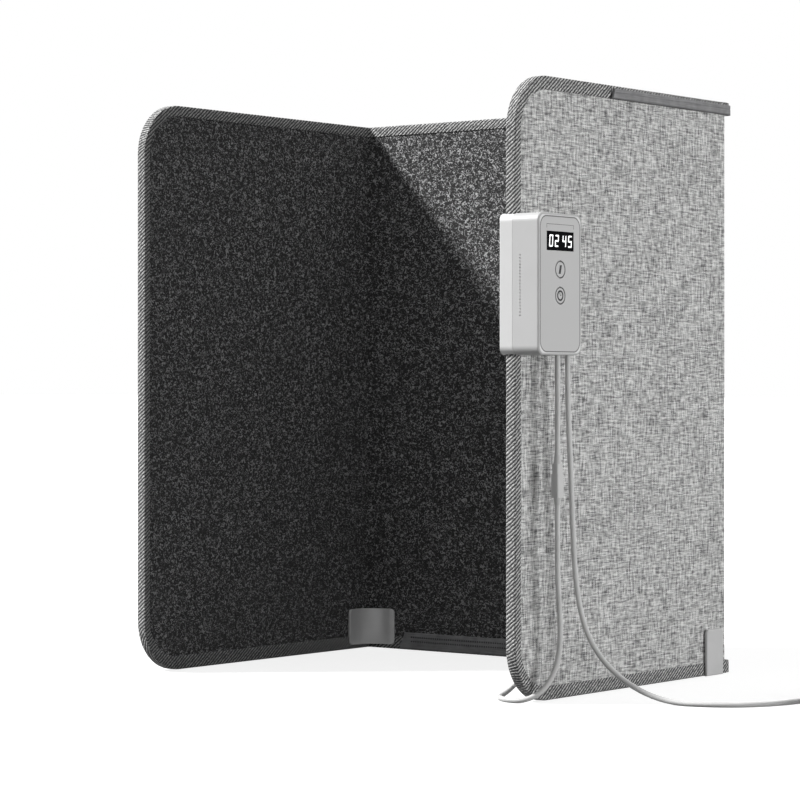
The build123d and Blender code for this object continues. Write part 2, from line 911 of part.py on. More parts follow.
# Flat two-pin plug: six-sided body, shoulders drawn in to a tapered relief, round pins
plug_width = 35.3
plug_flat_width = 26.1
plug_length = 24.0
plug_shoulder = 12.0
plug_rear_width_share = 0.45
plug_rear_height_share = 0.62
plug_edge = 1.2
relief_length = 20.0
relief_radius = 4.0
relief_tip_radius = 2.7
pin_length = 19.0
pin_sleeve = 10.0
pin_radius = 2.0
pin_sleeve_radius = 1.9
pin_tip = 0.8
pin_spacing = 18.6
plug_half_height = coil_top_z
relief_end_y = coil_end.Y - relief_length
plug_shoulder_y = relief_end_y - plug_shoulder
plug_face_y = plug_shoulder_y - plug_length


def plug_plane(y):
    """Give the plane across the plug at y, looking the way that the pins point."""
    return Plane((coil_end.X, y, coil_top_z), x_dir=(1, 0, 0), z_dir=(0, -1, 0))


def plug_section(y, width_share, height_share):
    half_width = plug_width / 2 * width_share
    half_flat = plug_flat_width / 2 * width_share
    half_height = plug_half_height * height_share
    corners = [
        (-half_width, 0),
        (-half_flat, half_height),
        (half_flat, half_height),
        (half_width, 0),
        (half_flat, -half_height),
        (-half_flat, -half_height),
    ]
    return plug_plane(y) * make_face(Polyline(*corners, close=True))


def mains_plug():
    full = plug_section(plug_shoulder_y, 1, 1)
    rear = plug_section(relief_end_y, plug_rear_width_share, plug_rear_height_share)
    body = extrude(full, amount=plug_length)
    body = fillet(body.faces().sort_by(Axis.Y)[0].edges(), plug_edge)
    body += loft([rear, full])
    wide = plug_plane(relief_end_y) * Circle(relief_radius)
    tip = plug_plane(coil_end.Y) * Circle(relief_tip_radius)
    return body + loft([tip, wide])


def plug_pin(side):
    """Build a pin: a sleeved root, and a bare tip with a rounded end."""
    centre = Pos(side * pin_spacing / 2, 0)
    root = extrude(plug_plane(plug_face_y) * centre * Circle(pin_sleeve_radius), amount=pin_sleeve)
    tip_plane = plug_plane(plug_face_y - pin_sleeve)
    tip = extrude(tip_plane * centre * Circle(pin_radius), amount=pin_length - pin_sleeve)
    return root + fillet(tip.faces().sort_by(Axis.Y)[0].edges(), pin_tip)


save("mains_plug", mains_plug())
save("plug_pins", Compound([plug_pin(side) for side in (-1, 1)]))
print("whole mains cord", round(mains_length + coil_length, 1))
print("whole heater lead", round(upper_lead_length + lower_lead_length, 1))
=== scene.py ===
import json
from math import atan2, cos, hypot, pi, radians, sin

import bmesh
import bpy
from mathutils import Matrix, Vector, noise


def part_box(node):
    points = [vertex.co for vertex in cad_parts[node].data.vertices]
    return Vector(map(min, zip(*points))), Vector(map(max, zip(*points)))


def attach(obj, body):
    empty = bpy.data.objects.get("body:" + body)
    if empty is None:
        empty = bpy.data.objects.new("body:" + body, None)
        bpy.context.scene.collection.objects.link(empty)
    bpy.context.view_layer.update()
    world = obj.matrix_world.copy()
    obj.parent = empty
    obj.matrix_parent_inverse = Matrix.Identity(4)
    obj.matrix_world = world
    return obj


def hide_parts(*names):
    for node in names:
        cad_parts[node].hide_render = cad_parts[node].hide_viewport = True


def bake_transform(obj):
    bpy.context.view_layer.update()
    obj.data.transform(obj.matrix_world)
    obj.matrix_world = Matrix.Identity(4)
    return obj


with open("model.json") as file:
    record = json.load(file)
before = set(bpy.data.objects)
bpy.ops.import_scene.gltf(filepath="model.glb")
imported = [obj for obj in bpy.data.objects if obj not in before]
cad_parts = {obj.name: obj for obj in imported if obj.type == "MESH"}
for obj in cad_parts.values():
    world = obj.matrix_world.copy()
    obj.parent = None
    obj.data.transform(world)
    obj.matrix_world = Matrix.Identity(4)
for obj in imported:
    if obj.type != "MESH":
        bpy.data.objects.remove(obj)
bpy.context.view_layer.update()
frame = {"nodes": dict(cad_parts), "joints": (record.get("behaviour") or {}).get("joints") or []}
nodes = frame["nodes"]

# Boards, foil sheets, heating films and fold leads
# Each leaf is stiffened by a closed-cell board. A foil-faced sheet and a printed carbon film
# lie between it and the felt, and a flat lead runs from film to film round each fold.


def start_material(name, colour, roughness, metallic=0.0, levels=None):
    """Make a material, and give back it, its node tree and its surface shader."""
    material = bpy.data.materials.new(name)
    material.use_nodes = True
    surface = material.node_tree.nodes["Principled BSDF"]
    surface.inputs["Base Color"].default_value = (*colour, 1)
    surface.inputs["Roughness"].default_value = roughness
    surface.inputs["Metallic"].default_value = metallic
    for level_name, level in (levels or {}).items():
        surface.inputs[level_name].default_value = level
    return material, material.node_tree, surface


def fill(tree, socket, value):
    """Give a socket a plain value, or link another node's output to it."""
    if isinstance(value, bpy.types.NodeSocket):
        tree.links.new(value, socket)
    else:
        socket.default_value = value


def add_node(tree, kind, inputs=None, **settings):
    node = tree.nodes.new(kind)
    for name, value in settings.items():
        setattr(node, name, value)
    for name, value in (inputs or {}).items():
        fill(tree, node.inputs[name], value)
    return node


def maths(tree, operation, *values):
    return add_node(tree, "ShaderNodeMath", dict(enumerate(values)), operation=operation).outputs[0]


def plus(tree, first, second):
    return maths(tree, "ADD", first, second)


def times(tree, first, second):
    return maths(tree, "MULTIPLY", first, second)


def shares(tree, first, second, share):
    """Mix two values: so much of the first, and the rest from the second."""
    return plus(tree, times(tree, first, share), times(tree, second, 1 - share))


def parts(tree, place):
    """Split a place into its three numbers."""
    return add_node(tree, "ShaderNodeSeparateXYZ", {0: place}).outputs


def object_place(tree):
    return add_node(tree, "ShaderNodeTexCoord").outputs["Object"]


def stretched(tree, place, scale, turn=0.0):
    """Turn a place about its third axis, then stretch it."""
    inputs = {"Vector": place, "Rotation": (0, 0, turn), "Scale": scale}
    return add_node(tree, "ShaderNodeMapping", inputs).outputs["Vector"]


def cloud(tree, place, scale, detail=2.0, roughness=0.5, curl=0.0):
    """Give noise from 0 to 1 with so many blobs to the metre."""
    inputs = {"Vector": place, "Scale": scale, "Detail": detail, "Roughness": roughness}
    return add_node(tree, "ShaderNodeTexNoise", {**inputs, "Distortion": curl}).outputs["Fac"]


def remap(tree, value, low, high, new_low=0.0, new_high=1.0):
    """Carry a value from one range to another, held at the ends."""
    inputs = {"Value": value, "From Min": low, "From Max": high}
    ends = {"To Min": new_low, "To Max": new_high}
    return add_node(tree, "ShaderNodeMapRange", {**inputs, **ends}).outputs["Result"]


def mix_values(tree, share, first, second):
    return add_node(tree, "ShaderNodeMix", {0: share, 2: first, 3: second}).outputs[0]


def mix_colours(tree, share, first, second):
    node = add_node(tree, "ShaderNodeMix", data_type="RGBA")
    for socket, value in ((node.inputs[0], share), (node.inputs[6], first), (node.inputs[7], second)):
        if isinstance(value, tuple):
            value = (*value, 1)
        fill(tree, socket, value)
    return node.outputs[2]


def add_relief(tree, surface, height, distance, strength=1.0):
    """Give a surface the fine relief of a height, in metres."""
    inputs = {"Height": height, "Distance": distance, "Strength": strength}
    bump = add_node(tree, "ShaderNodeBump", inputs)
    tree.links.new(bump.outputs["Normal"], surface.inputs["Normal"])


def start_group(name, inputs, outputs):
    """Make a shader node group with named inputs and outputs."""
    group = bpy.data.node_groups.new(name, "ShaderNodeTree")
    for socket_name, kind, value in inputs:
        socket = group.interface.new_socket(name=socket_name, in_out="INPUT", socket_type=kind)
        if value is not None:
            socket.default_value = value
    for socket_name in outputs:
        group.interface.new_socket(name=socket_name, in_out="OUTPUT", socket_type="NodeSocketFloat")
    entry = group.nodes.new("NodeGroupInput").outputs
    way_out = group.nodes.new("NodeGroupOutput").inputs
    return group, entry, way_out


def place_group(tree, group, inputs):
    node = tree.nodes.new("ShaderNodeGroup")
    node.node_tree = group
    for name, value in inputs.items():
        fill(tree, node.inputs[name], value)
    return node.outputs


# Moulded grain: the fine even pitting of plastic and rubber, with a faint cloudy wear.
grain_group, grain_in, grain_out = start_group(
    "moulded grain",
    [("Place", "NodeSocketVector", None), ("Grains to the metre", "NodeSocketFloat", 2500.0)],
    ["Height", "Wear"],
)
grain_fine = cloud(grain_group, grain_in["Place"], grain_in["Grains to the metre"], detail=3.0)
grain_cloud = cloud(grain_group, grain_in["Place"], 45.0, detail=4.0, roughness=0.6)
fill(grain_group, grain_out["Height"], grain_fine)
fill(grain_group, grain_out["Wear"], remap(grain_group, grain_cloud, 0.3, 0.7))


def moulded_grain(tree, grains):
    inputs = {"Place": object_place(tree), "Grains to the metre": grains}
    return place_group(tree, grain_group, inputs)


def moulded(
    name, colour, roughness, grains=2500.0, depth=0.00002, wear=0.04, metallic=0.0, levels=None
):
    """Make a moulded finish whose colour and gloss vary a little with handling."""
    material, tree, surface = start_material(name, colour, roughness, metallic, levels)
    grain = moulded_grain(tree, grains)
    darker = tuple(channel * (1 - 2 * wear) for channel in colour)
    handled = remap(tree, grain["Wear"], 0, 1, roughness + wear, roughness - wear)
    fill(tree, surface.inputs["Base Color"], mix_colours(tree, grain["Wear"], darker, colour))
    fill(tree, surface.inputs["Roughness"], handled)
    add_relief(tree, surface, grain["Height"], depth)
    return material


def finish_node(name, material):
    """Give a CAD piece its finish, and leave its shape."""
    for slot in nodes[name].material_slots:
        slot.material = material


board_material = moulded(
    "closed-cell board", (0.70, 0.70, 0.67), 0.75, grains=900.0, depth=0.0001, wear=0.05
)
foil_material = moulded(
    "crinkled foil", (0.80, 0.80, 0.81), 0.28, grains=260.0, depth=0.0003, wear=0.06, metallic=1.0
)
film_material = moulded(
    "printed carbon film", (0.035, 0.035, 0.04), 0.35, grains=1500.0, depth=0.00003, wear=0.08
)
lead_material = moulded("flat lead", (0.62, 0.62, 0.6), 0.45, grains=1800.0)
for side in ("left", "back", "right"):
    finish_node(f"{side}_board", board_material)
    finish_node(f"{side}_insulation", foil_material)
    finish_node(f"{side}_heating_film", film_material)

# Felt lining
# Charcoal needle felt, 2 mm thick, faces the legs. It is cut to each leaf, runs on round the
# two folds, and is held at its edges by the edge tape.

panel_height = 0.5
fold = {
    joint["name"]: Vector(joint["pos_m"])
    for joint in frame["joints"] if joint["name"].endswith("_fold")
}
fold_x = fold["right_fold"].x
fold_y = fold["right_fold"].y
felt_low, felt_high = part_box("right_lining")
felt_face = felt_low.x - fold_x
felt_back = felt_high.x - fold_x
side_start = fold_y - felt_high.y
tape_thickness = felt_low.z
side_reach = fold_y - felt_low.y + tape_thickness
back_reach = fold_x - side_start
corner_radius = 0.045
corner_steps = 14
fold_steps = 18
fold_rows = 24
sheet_cell = 0.014
felt_swell = 0.0006
felt_blob = 0.07
swell_start = 0.008
swell_full = 0.038
felt_black = (0.002, 0.002, 0.0023)
felt_pale = (0.52, 0.52, 0.525)

leaf_places = {
    "back": Matrix.Translation((0, fold_y, 0)),
    "right": Matrix.Translation((fold_x, fold_y, 0)) @ Matrix.Rotation(radians(-90), 4, "Z"),
}
leaf_places["left"] = Matrix.Diagonal((-1, 1, 1, 1)) @ leaf_places["right"]


def put_on_leaf(bm, leaf):
    """Carry a mesh drawn along X, with its depth along Y, to its leaf."""
    bmesh.ops.transform(bm, matrix=leaf_places[leaf], verts=bm.verts)
    if leaf == "left":
        bmesh.ops.reverse_faces(bm, faces=bm.faces)
    bm.normal_update()


def mirror_to_left(bm):
    bmesh.ops.transform(bm, matrix=Matrix.Diagonal((-1, 1, 1, 1)), verts=bm.verts)
    bmesh.ops.reverse_faces(bm, faces=bm.faces)
    bm.normal_update()


def ways_of_leaf(point):
    """Give the way out of the leaf at a point, the way round the heater, and the turn of the fold."""
    side = 1 if point.x > 0 else -1
    beyond = abs(point.x) - fold_x
    behind = point.y - fold_y
    if beyond <= 0:
        turn = 0.0
    elif behind <= 0:
        turn = pi / 2
    else:
        turn = atan2(beyond, behind)
    out = Vector((side * sin(turn), cos(turn), 0))
    along = Vector((cos(turn), -side * sin(turn), 0))
    return side, beyond, behind, turn, out, along


def lay_out(bm, inside_depth, outside_depth):
    """Unroll the cloth: give every corner of every face its distance round the heater and its height.

    Both sides are laid out as they are seen from in front of them, and an edge carries on
    from the outside."""
    layer = bm.loops.layers.uv.new("cloth")
    for face in bm.faces:
        for loop in face.loops:
            point = loop.vert.co
            side, beyond, behind, turn, out, along = ways_of_leaf(point)
            inside = face.normal.dot(out) < -0.5
            radius = inside_depth if inside else outside_depth
            travelled = fold_x + radius * turn - min(behind, 0) if beyond > 0 else abs(point.x)
            depth = max(beyond, 0) * sin(turn) + max(behind, 0) * cos(turn)
            if inside:
                loop[layer].uv = (side * travelled, point.z)
            else:
                folded = outside_depth - depth
                across = -side * travelled - face.normal.dot(along) * folded
                loop[layer].uv = (across, point.z + face.normal.z * folded)


def make_piece(name, bm, material, smooth_angle=35.0):
    """Turn a finished mesh into a piece that sits at the origin."""
    mesh = bpy.data.meshes.new(name)
    bm.to_mesh(mesh)
    bm.free()
    mesh.materials.append(material)
    mesh.shade_smooth()
    mesh.set_sharp_from_angle(angle=radians(smooth_angle))
    piece = bpy.data.objects.new(name, mesh)
    bpy.context.scene.collection.objects.link(piece)
    return piece


def bevel(bm, geometry, offset, segments, affect="EDGES"):
    bmesh.ops.bevel(
        bm, geom=geometry, offset=offset, offset_type="OFFSET",
        segments=segments, profile=0.5, affect=affect, material=-1,
    )


def start_sheet(x_from, x_to, inset, depth, rounded, faces_out):
    """Cut a flat sheet for one leaf, drawn along X and up Z, and divide it into small cells."""
    bm = bmesh.new()
    width = x_to - x_from
    height = panel_height - 2 * inset
    bmesh.ops.create_grid(bm, x_segments=1, y_segments=1, size=0.5)
    place = Matrix.Translation(((x_from + x_to) / 2, depth, panel_height / 2))
    place = place @ Matrix.Rotation(radians(90), 4, "X") @ Matrix.Diagonal((width, height, 1, 1))
    bmesh.ops.transform(bm, matrix=place, verts=bm.verts)
    if rounded:
        corners = [vert for vert in bm.verts if vert.co.x > (x_from + x_to) / 2]
        bevel(bm, corners, corner_radius - inset, corner_steps, "VERTICES")
    for axis, start, size in ((0, x_from, width), (2, inset, height)):
        cuts = round(size / sheet_cell)
        normal = Vector((1, 0, 0)) if axis == 0 else Vector((0, 0, 1))
        for number in range(1, cuts):
            point = normal * (start + size * number / cuts)
            geometry = bm.verts[:] + bm.edges[:] + bm.faces[:]
            bmesh.ops.bisect_plane(bm, geom=geometry, dist=1e-6, plane_co=point, plane_no=normal)
    if faces_out:
        bmesh.ops.reverse_faces(bm, faces=bm.faces)
    return bm


def ease(value, start, end):
    """Rise from 0 to 1 between two values, gently at both ends."""
    share = min(max((value - start) / (end - start), 0), 1)
    return share * share * (3 - 2 * share)


def swell(bm, x_from, x_to, way, height, blob_size):
    """Let a sheet stand a little proud between its taped edges, unevenly as cloth does."""
    for vert in bm.verts:
        from_ends = min(vert.co.x - x_from, x_to - vert.co.x, vert.co.z, panel_height - vert.co.z)
        wave = 0.5 + 0.5 * noise.noise(vert.co / blob_size)
        vert.co.y += way * height * wave * ease(from_ends, swell_start, swell_full)


def thicken(bm, thickness):
    """Give a sheet its thickness, away from the side that its faces point to."""
    bmesh.ops.solidify(bm, geom=bm.faces[:], thickness=thickness)
    bm.normal_update()


def run_on(bm, ends, step, steps=1):
    """Carry the open end of a mesh straight on by so many equal steps."""
    made = bmesh.ops.spin(
        bm, geom=ends, cent=(0, 0, 0), axis=(0, 0, 1), dvec=step, angle=0, steps=steps
    )
    return made["geom_last"]


def turn_on(bm, ends, centre, axis, angle, steps):
    """Carry the open end of a mesh round a centre."""
    made = bmesh.ops.spin(
        bm, geom=ends, cent=centre, axis=axis, dvec=(0, 0, 0), angle=radians(angle), steps=steps
    )
    return made["geom_last"]


def round_fold(bm, ends):
    """Carry an open end at the back leaf's right end round the fold to the side leaf."""
    last = run_on(bm, ends, (side_start, 0, 0))
    last = turn_on(bm, last, (fold_x, fold_y, 0), (0, 0, 1), -90, fold_steps)
    return run_on(bm, last, (0, -side_start, 0))


def fold_strip(depth, z_from, z_to, rows, faces_out):
    """Carry an upright line from the back leaf round the right fold to the side leaf."""
    bm = bmesh.new()
    ends = [bm.verts.new((back_reach, fold_y + depth, z)) for z in (z_from, z_to)]
    edge = bm.edges.new(ends)
    bmesh.ops.subdivide_edges(bm, edges=[edge], cuts=rows)
    round_fold(bm, bm.verts[:] + bm.edges[:])
    bmesh.ops.recalc_face_normals(bm, faces=bm.faces)
    bm.normal_update()
    middle = min(bm.faces, key=lambda face: abs(face.calc_center_median().x - fold_x - side_start))
    out = ways_of_leaf(middle.calc_center_median())[4]
    if (middle.normal.dot(out) > 0) != faces_out:
        bmesh.ops.reverse_faces(bm, faces=bm.faces)
    return bm


def blend_round_fold(piece):
    """Bake a piece's place into its mesh; it is not tied to a leaf and keeps its shape."""
    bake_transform(piece)


def needle_felt():
    """Charcoal needle felt: curled tufts of pale and dark fibre, matted together."""
    sheen = {"Sheen Weight": 0.1, "Sheen Roughness": 0.6}
    material, tree, surface = start_material("needle felt", (0.12, 0.12, 0.125), 0.95, levels=sheen)
    place = object_place(tree)
    tufts = cloud(tree, stretched(tree, place, (0.8, 0.8, 1)), 430.0, detail=1.0, curl=1.6)
    fibres = cloud(tree, place, 1100.0, roughness=0.6, curl=0.8)
    matted = shares(tree, tufts, fibres, 0.88)
    pale = maths(tree, "POWER", remap(tree, matted, 0.505, 0.655), 1.2)
    fill(tree, surface.inputs["Base Color"], mix_colours(tree, pale, felt_black, felt_pale))
    add_relief(tree, surface, matted, distance=0.0012, strength=0.8)
    return material


felt_material = needle_felt()
leaf_spans = {
    "left": (side_start, side_reach - tape_thickness),
    "back": (-back_reach, back_reach),
    "right": (side_start, side_reach - tape_thickness),
}


def leaf_cloth(leaf, inside, outside, swell_height, blob_size, faces_out):
    """Build one leaf's cloth between two depths, swelled on the side that shows."""
    x_from, x_to = leaf_spans[leaf]
    face = outside if faces_out else inside
    bm = start_sheet(x_from, x_to, tape_thickness, face, leaf != "back", faces_out)
    swell(bm, x_from, x_to, 1 if faces_out else -1, swell_height, blob_size)
    thicken(bm, outside - inside)
    put_on_leaf(bm, leaf)
    lay_out(bm, inside, outside)
    return bm


def fold_cloth(side, inside, outside, faces_out):
    """Build the same cloth where it runs on round a fold."""
    face = outside if faces_out else inside
    bm = fold_strip(face, tape_thickness, panel_height - tape_thickness, fold_rows, faces_out)
    thicken(bm, outside - inside)
    if side == "left":
        mirror_to_left(bm)
    lay_out(bm, inside, outside)
    return bm


for leaf in leaf_spans:
    bm = leaf_cloth(leaf, felt_face, felt_back, felt_swell, felt_blob, faces_out=False)
    felt = make_piece(f"{leaf}_felt", bm, felt_material)
    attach(felt, f"{leaf}_panel")
    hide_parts(f"{leaf}_lining")

for side in ("left", "right"):
    bm = fold_cloth(side, felt_face, felt_back, faces_out=False)
    felt = make_piece(f"{side}_fold_felt", bm, felt_material)
    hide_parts(f"{side}_fold_lining")
    blend_round_fold(felt)

lead_low, lead_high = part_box("right_fold_lead")
for side in ("left", "right"):
    bm = fold_strip(felt_back, lead_low.z, lead_high.z, rows=1, faces_out=False)
    thicken(bm, lead_high.y - fold_y - felt_back)
    if side == "left":
        mirror_to_left(bm)
    lead = make_piece(f"{side}_fold_flat_lead", bm, lead_material)
    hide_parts(f"{side}_fold_lead")
    blend_round_fold(lead)

# Linen cover
# The outside is a pale grey linen look cloth, plain woven from slubby yarns, glued over the
# board and taken round both folds in one length.

linen_low, linen_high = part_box("right_cover")
linen_seat = linen_low.x - fold_x
linen_face = linen_high.x - fold_x
linen_swell = 0.0007
linen_blob = 0.09
linen_grey = (0.13, 0.13, 0.133)
linen_white = (1.0, 1.0, 0.99)


def cloth_place(tree):
    return add_node(tree, "ShaderNodeUVMap", uv_map="cloth").outputs["UV"]


# Plain weave: yarns up and across, each over and then under the next. It puts out which of
# the two is on top, and how high the upper one stands.
weave_group, weave_in, weave_out = start_group(
    "plain weave",
    [("Place", "NodeSocketVector", None), ("Yarns to the metre", "NodeSocketFloat", 1100.0)],
    ["Height", "Upright yarn on top"],
)
weave_scaled = add_node(weave_group, "ShaderNodeVectorMath", operation="SCALE")
fill(weave_group, weave_scaled.inputs[0], weave_in["Place"])
fill(weave_group, weave_scaled.inputs["Scale"], weave_in["Yarns to the metre"])
weave_parts = parts(weave_group, weave_scaled.outputs[0])
weave_across = maths(weave_group, "SINE", times(weave_group, weave_parts[0], pi))
weave_up = maths(weave_group, "SINE", times(weave_group, weave_parts[1], pi))
weave_on_top = maths(weave_group, "GREATER_THAN", times(weave_group, weave_across, weave_up), 0.0)
weave_upright = times(weave_group, weave_on_top, maths(weave_group, "ABSOLUTE", weave_across))
weave_under = maths(weave_group, "SUBTRACT", 1.0, weave_on_top)
weave_level = times(weave_group, weave_under, maths(weave_group, "ABSOLUTE", weave_up))
fill(weave_group, weave_out["Height"], plus(weave_group, weave_upright, weave_level))
fill(weave_group, weave_out["Upright yarn on top"], weave_on_top)


def slubby_linen():
    """Pale grey linen look: dark and light slubs run both ways through a plain weave, with painted
    shade in its low places.
    """
    sheen = {"Sheen Weight": 0.08}
    material, tree, surface = start_material("slubby linen", (0.53, 0.53, 0.52), 0.9, levels=sheen)
    place = cloth_place(tree)
    weave = place_group(tree, weave_group, {"Place": place, "Yarns to the metre": 1150.0})
    tones = []
    for fine, coarse in (((1, 0.16, 1), (1, 0.16, 1)), ((0.14, 1, 1), (0.14, 1.3, 1))):
        yarns = cloud(tree, stretched(tree, place, fine), 950.0, detail=1.0)
        slubs = cloud(tree, stretched(tree, place, coarse), 430.0, roughness=0.55)
        tones.append(shares(tree, yarns, slubs, 0.45))
    upright, level = tones
    on_top = mix_values(tree, weave["Upright yarn on top"], level, upright)
    both = times(tree, plus(tree, upright, level), 0.5)
    patches = cloud(tree, object_place(tree), 24.0)
    tone = plus(tree, shares(tree, on_top, both, 0.5), remap(tree, patches, 0.3, 0.7, -0.012, 0.012))
    colour = mix_colours(tree, remap(tree, tone, 0.405, 0.585), linen_grey, linen_white)
    # Painted shade: the colour is darkened where the weave lies low, between the yarns.
    painted_weave_shade = remap(tree, weave["Height"], 0.0, 0.7, 0.74, 1.0)
    inputs = {0: 1.0, 6: colour, 7: painted_weave_shade}
    shaded = add_node(tree, "ShaderNodeMix", inputs, data_type="RGBA", blend_type="MULTIPLY")
    fill(tree, surface.inputs["Base Color"], shaded.outputs[2])
    relief = plus(tree, weave["Height"], times(tree, tone, 2.0))
    add_relief(tree, surface, relief, distance=0.0003, strength=0.8)
    return material


linen_material = slubby_linen()
for leaf in leaf_spans:
    bm = leaf_cloth(leaf, linen_seat, linen_face, linen_swell, linen_blob, faces_out=True)
    linen = make_piece(f"{leaf}_linen", bm, linen_material)
    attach(linen, f"{leaf}_panel")
    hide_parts(f"{leaf}_cover")

for side in ("left", "right"):
    bm = fold_cloth(side, linen_seat, linen_face, faces_out=True)
    linen = make_piece(f"{side}_fold_linen", bm, linen_material)
    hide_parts(f"{side}_fold_cover")
    blend_round_fold(linen)

# Edge tape
# Black and grey twill tape, folded over the edges of felt, board and linen and sewn through.
# It goes round three sides of a side leaf and along the top and foot of the back one.

tape_inside = felt_face - tape_thickness
tape_outside = linen_face + tape_thickness
inside_leg = 0.0095
inside_foot_leg = 0.012
outside_leg = 0.0112
inside_upright_leg = 0.0062
outside_upright_leg = 0.0078
tape_rounding = 0.0014
tape_end_rounding = 0.0004
tape_step = 0.012
twill_black = (0.032, 0.032, 0.034)
twill_grey = (0.76, 0.76, 0.75)
rib_slant = 37.4
rib_pitch = 0.00263


def tape_end(corners, roundings, x):
    """Draw a section across a leaf at x, from depths and distances in from the edge."""
    bm = bmesh.new()
    verts = [bm.verts.new((x, depth, distance)) for depth, distance in corners]
    bm.faces.new(verts)
    for number, rounding in roundings.items():
        bevel(bm, [verts[number]], rounding, 4, "VERTICES")
    bmesh.ops.delete(bm, geom=bm.faces[:], context="FACES_ONLY")
    return bm


def close_ends(bm):
    bmesh.ops.holes_fill(bm, edges=bm.edges[:], sides=0)
    bmesh.ops.recalc_face_normals(bm, faces=bm.faces)
    bm.normal_update()


def take_along(bm, length):
    """Carry a section along its leaf in equal steps, and close its ends."""
    steps = round(length / tape_step)
    run_on(bm, bm.verts[:] + bm.edges[:], (length / steps, 0, 0), steps)
    close_ends(bm)


def take_round_fold(bm):
    """Carry a section drawn at the back leaf's right end round the fold, and close its ends."""
    bmesh.ops.translate(bm, vec=(0, fold_y, 0), verts=bm.verts)
    round_fold(bm, bm.verts[:] + bm.edges[:])
    close_ends(bm)


def turn_over(bm):
    """Carry a piece drawn along the leaf's foot over to its top."""
    over = Matrix.Translation((0, 0, panel_height)) @ Matrix.Diagonal((1, 1, -1, 1))
    bmesh.ops.transform(bm, matrix=over, verts=bm.verts)
    bmesh.ops.reverse_faces(bm, faces=bm.faces)


def folded_tape(x, inner_leg):
    """Draw the whole folded section: both legs and the web round the edge."""
    corners = [
        (linen_face, outside_leg),
        (tape_outside, outside_leg),
        (tape_outside, 0),
        (tape_inside, 0),
        (tape_inside, inner_leg),
        (felt_face, inner_leg),
        (felt_face, tape_thickness),
        (linen_face, tape_thickness),
    ]
    roundings = {1: tape_end_rounding, 2: tape_rounding, 3: tape_rounding, 4: tape_end_rounding}
    return tape_end(corners, roundings, x)


def twill():
    """Black and grey twill: slanted ribs that climb to the right, seen from either side."""
    material, tree, surface = start_material("twill tape", (0.22, 0.22, 0.22), 0.88)
    place = cloth_place(tree)
    ribs = stretched(tree, place, (1 / rib_pitch, 1 / rib_pitch, 1), radians(-rib_slant))
    wander = cloud(tree, object_place(tree), 240.0, detail=3.0, roughness=0.6)
    phase = plus(tree, parts(tree, ribs)[1], remap(tree, wander, 0.2, 0.8, -0.22, 0.22))
    rib = maths(tree, "PINGPONG", times(tree, phase, 2.0), 1.0)
    knots = cloud(tree, place, 420.0, detail=3.0, roughness=0.7)
    threads = cloud(tree, stretched(tree, ribs, (1.6, 0.35, 1)), 2.4, roughness=0.6)
    pale = times(tree, remap(tree, rib, 0.34, 0.66), remap(tree, knots, 0.36, 0.60, 0.25, 1.0))
    pale = times(tree, pale, remap(tree, threads, 0.3, 0.7, 0.6, 1.15))
    fill(tree, surface.inputs["Base Color"], mix_colours(tree, pale, twill_black, twill_grey))
    relief = plus(tree, rib, times(tree, threads, 0.5))
    add_relief(tree, surface, relief, distance=0.0005, strength=0.8)
    return material


twill_material = twill()


def tape_piece(name, bm):
    lay_out(bm, tape_inside, tape_outside)
    piece = make_piece(name, bm, twill_material, 50.0)
    return piece


run_length = side_reach - corner_radius - side_start
rise_length = panel_height - 2 * corner_radius
run_steps = round(run_length / tape_step)
turn_x = side_reach - corner_radius


def vary_legs(bm):
    """Let the legs grow narrow round the corners to the upright edge, and wide again above."""
    for vert in bm.verts:
        centre_z = min(max(vert.co.z, corner_radius), panel_height - corner_radius)
        out = Vector((vert.co.x - turn_x, 0, vert.co.z - centre_z))
        if vert.co.x < turn_x:
            out.x = 0
        from_edge = corner_radius - out.length
        if from_edge < inside_upright_leg - tape_end_rounding:
            continue
        inner = vert.co.y < (felt_face + linen_face) / 2
        built = inside_foot_leg if inner else outside_leg
        level_leg = inside_leg if inner and vert.co.z > corner_radius else built
        upright_leg = inside_upright_leg if inner else outside_upright_leg
        turned = ease(atan2(max(out.x, 0), abs(out.z)), 0, pi / 2)
        leg = level_leg + (upright_leg - level_leg) * turned
        vert.co += out.normalized() * (built - leg)


for side in ("left", "right"):
    bm = folded_tape(side_start, inside_foot_leg)
    last = run_on(bm, bm.verts[:] + bm.edges[:], (run_length / run_steps, 0, 0), run_steps)
    last = turn_on(bm, last, (turn_x, 0, corner_radius), (0, 1, 0), -90, 2 * corner_steps)
    last = run_on(bm, last, (0, 0, rise_length / run_steps), run_steps)
    upper_turn = (turn_x, 0, panel_height - corner_radius)
    last = turn_on(bm, last, upper_turn, (0, 1, 0), -90, 2 * corner_steps)
    run_on(bm, last, (-run_length / run_steps, 0, 0), run_steps)
    vary_legs(bm)
    close_ends(bm)
    put_on_leaf(bm, side)
    tape = tape_piece(f"{side}_edge_tape", bm)
    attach(tape, f"{side}_panel")
    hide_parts(f"{side}_binding")

tape_runs = {"foot": (inside_foot_leg, False), "top": (inside_leg, True)}
for place, (inner_leg, turned) in tape_runs.items():
    bm = folded_tape(-back_reach, inner_leg)
    take_along(bm, 2 * back_reach)
    if turned:
        turn_over(bm)
    put_on_leaf(bm, "back")
    tape = tape_piece(f"back_{place}_tape", bm)
    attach(tape, "back_panel")
    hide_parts("back_binding")

fold_squareness = 8.0


def square_off(bm, inner_depth, outer_depth):
    """Push a piece at the right fold out towards a square corner, more the further out it lies."""
    for vert in bm.verts:
        beyond = vert.co.x - fold_x
        behind = vert.co.y - fold_y
        if beyond > 0 and behind > 0:
            reach = hypot(beyond, behind)
            roundness = sum((share / reach) ** fold_squareness for share in (beyond, behind))
            squarer = roundness ** (-1 / fold_squareness)
            pushed = max((reach - inner_depth) / (outer_depth - inner_depth), 0)
            stretch = squarer
            if reach < outer_depth:
                stretch = 1 + outer_depth * (squarer - 1) * pushed / reach
            vert.co.x = fold_x + beyond * stretch
            vert.co.y = fold_y + behind * stretch


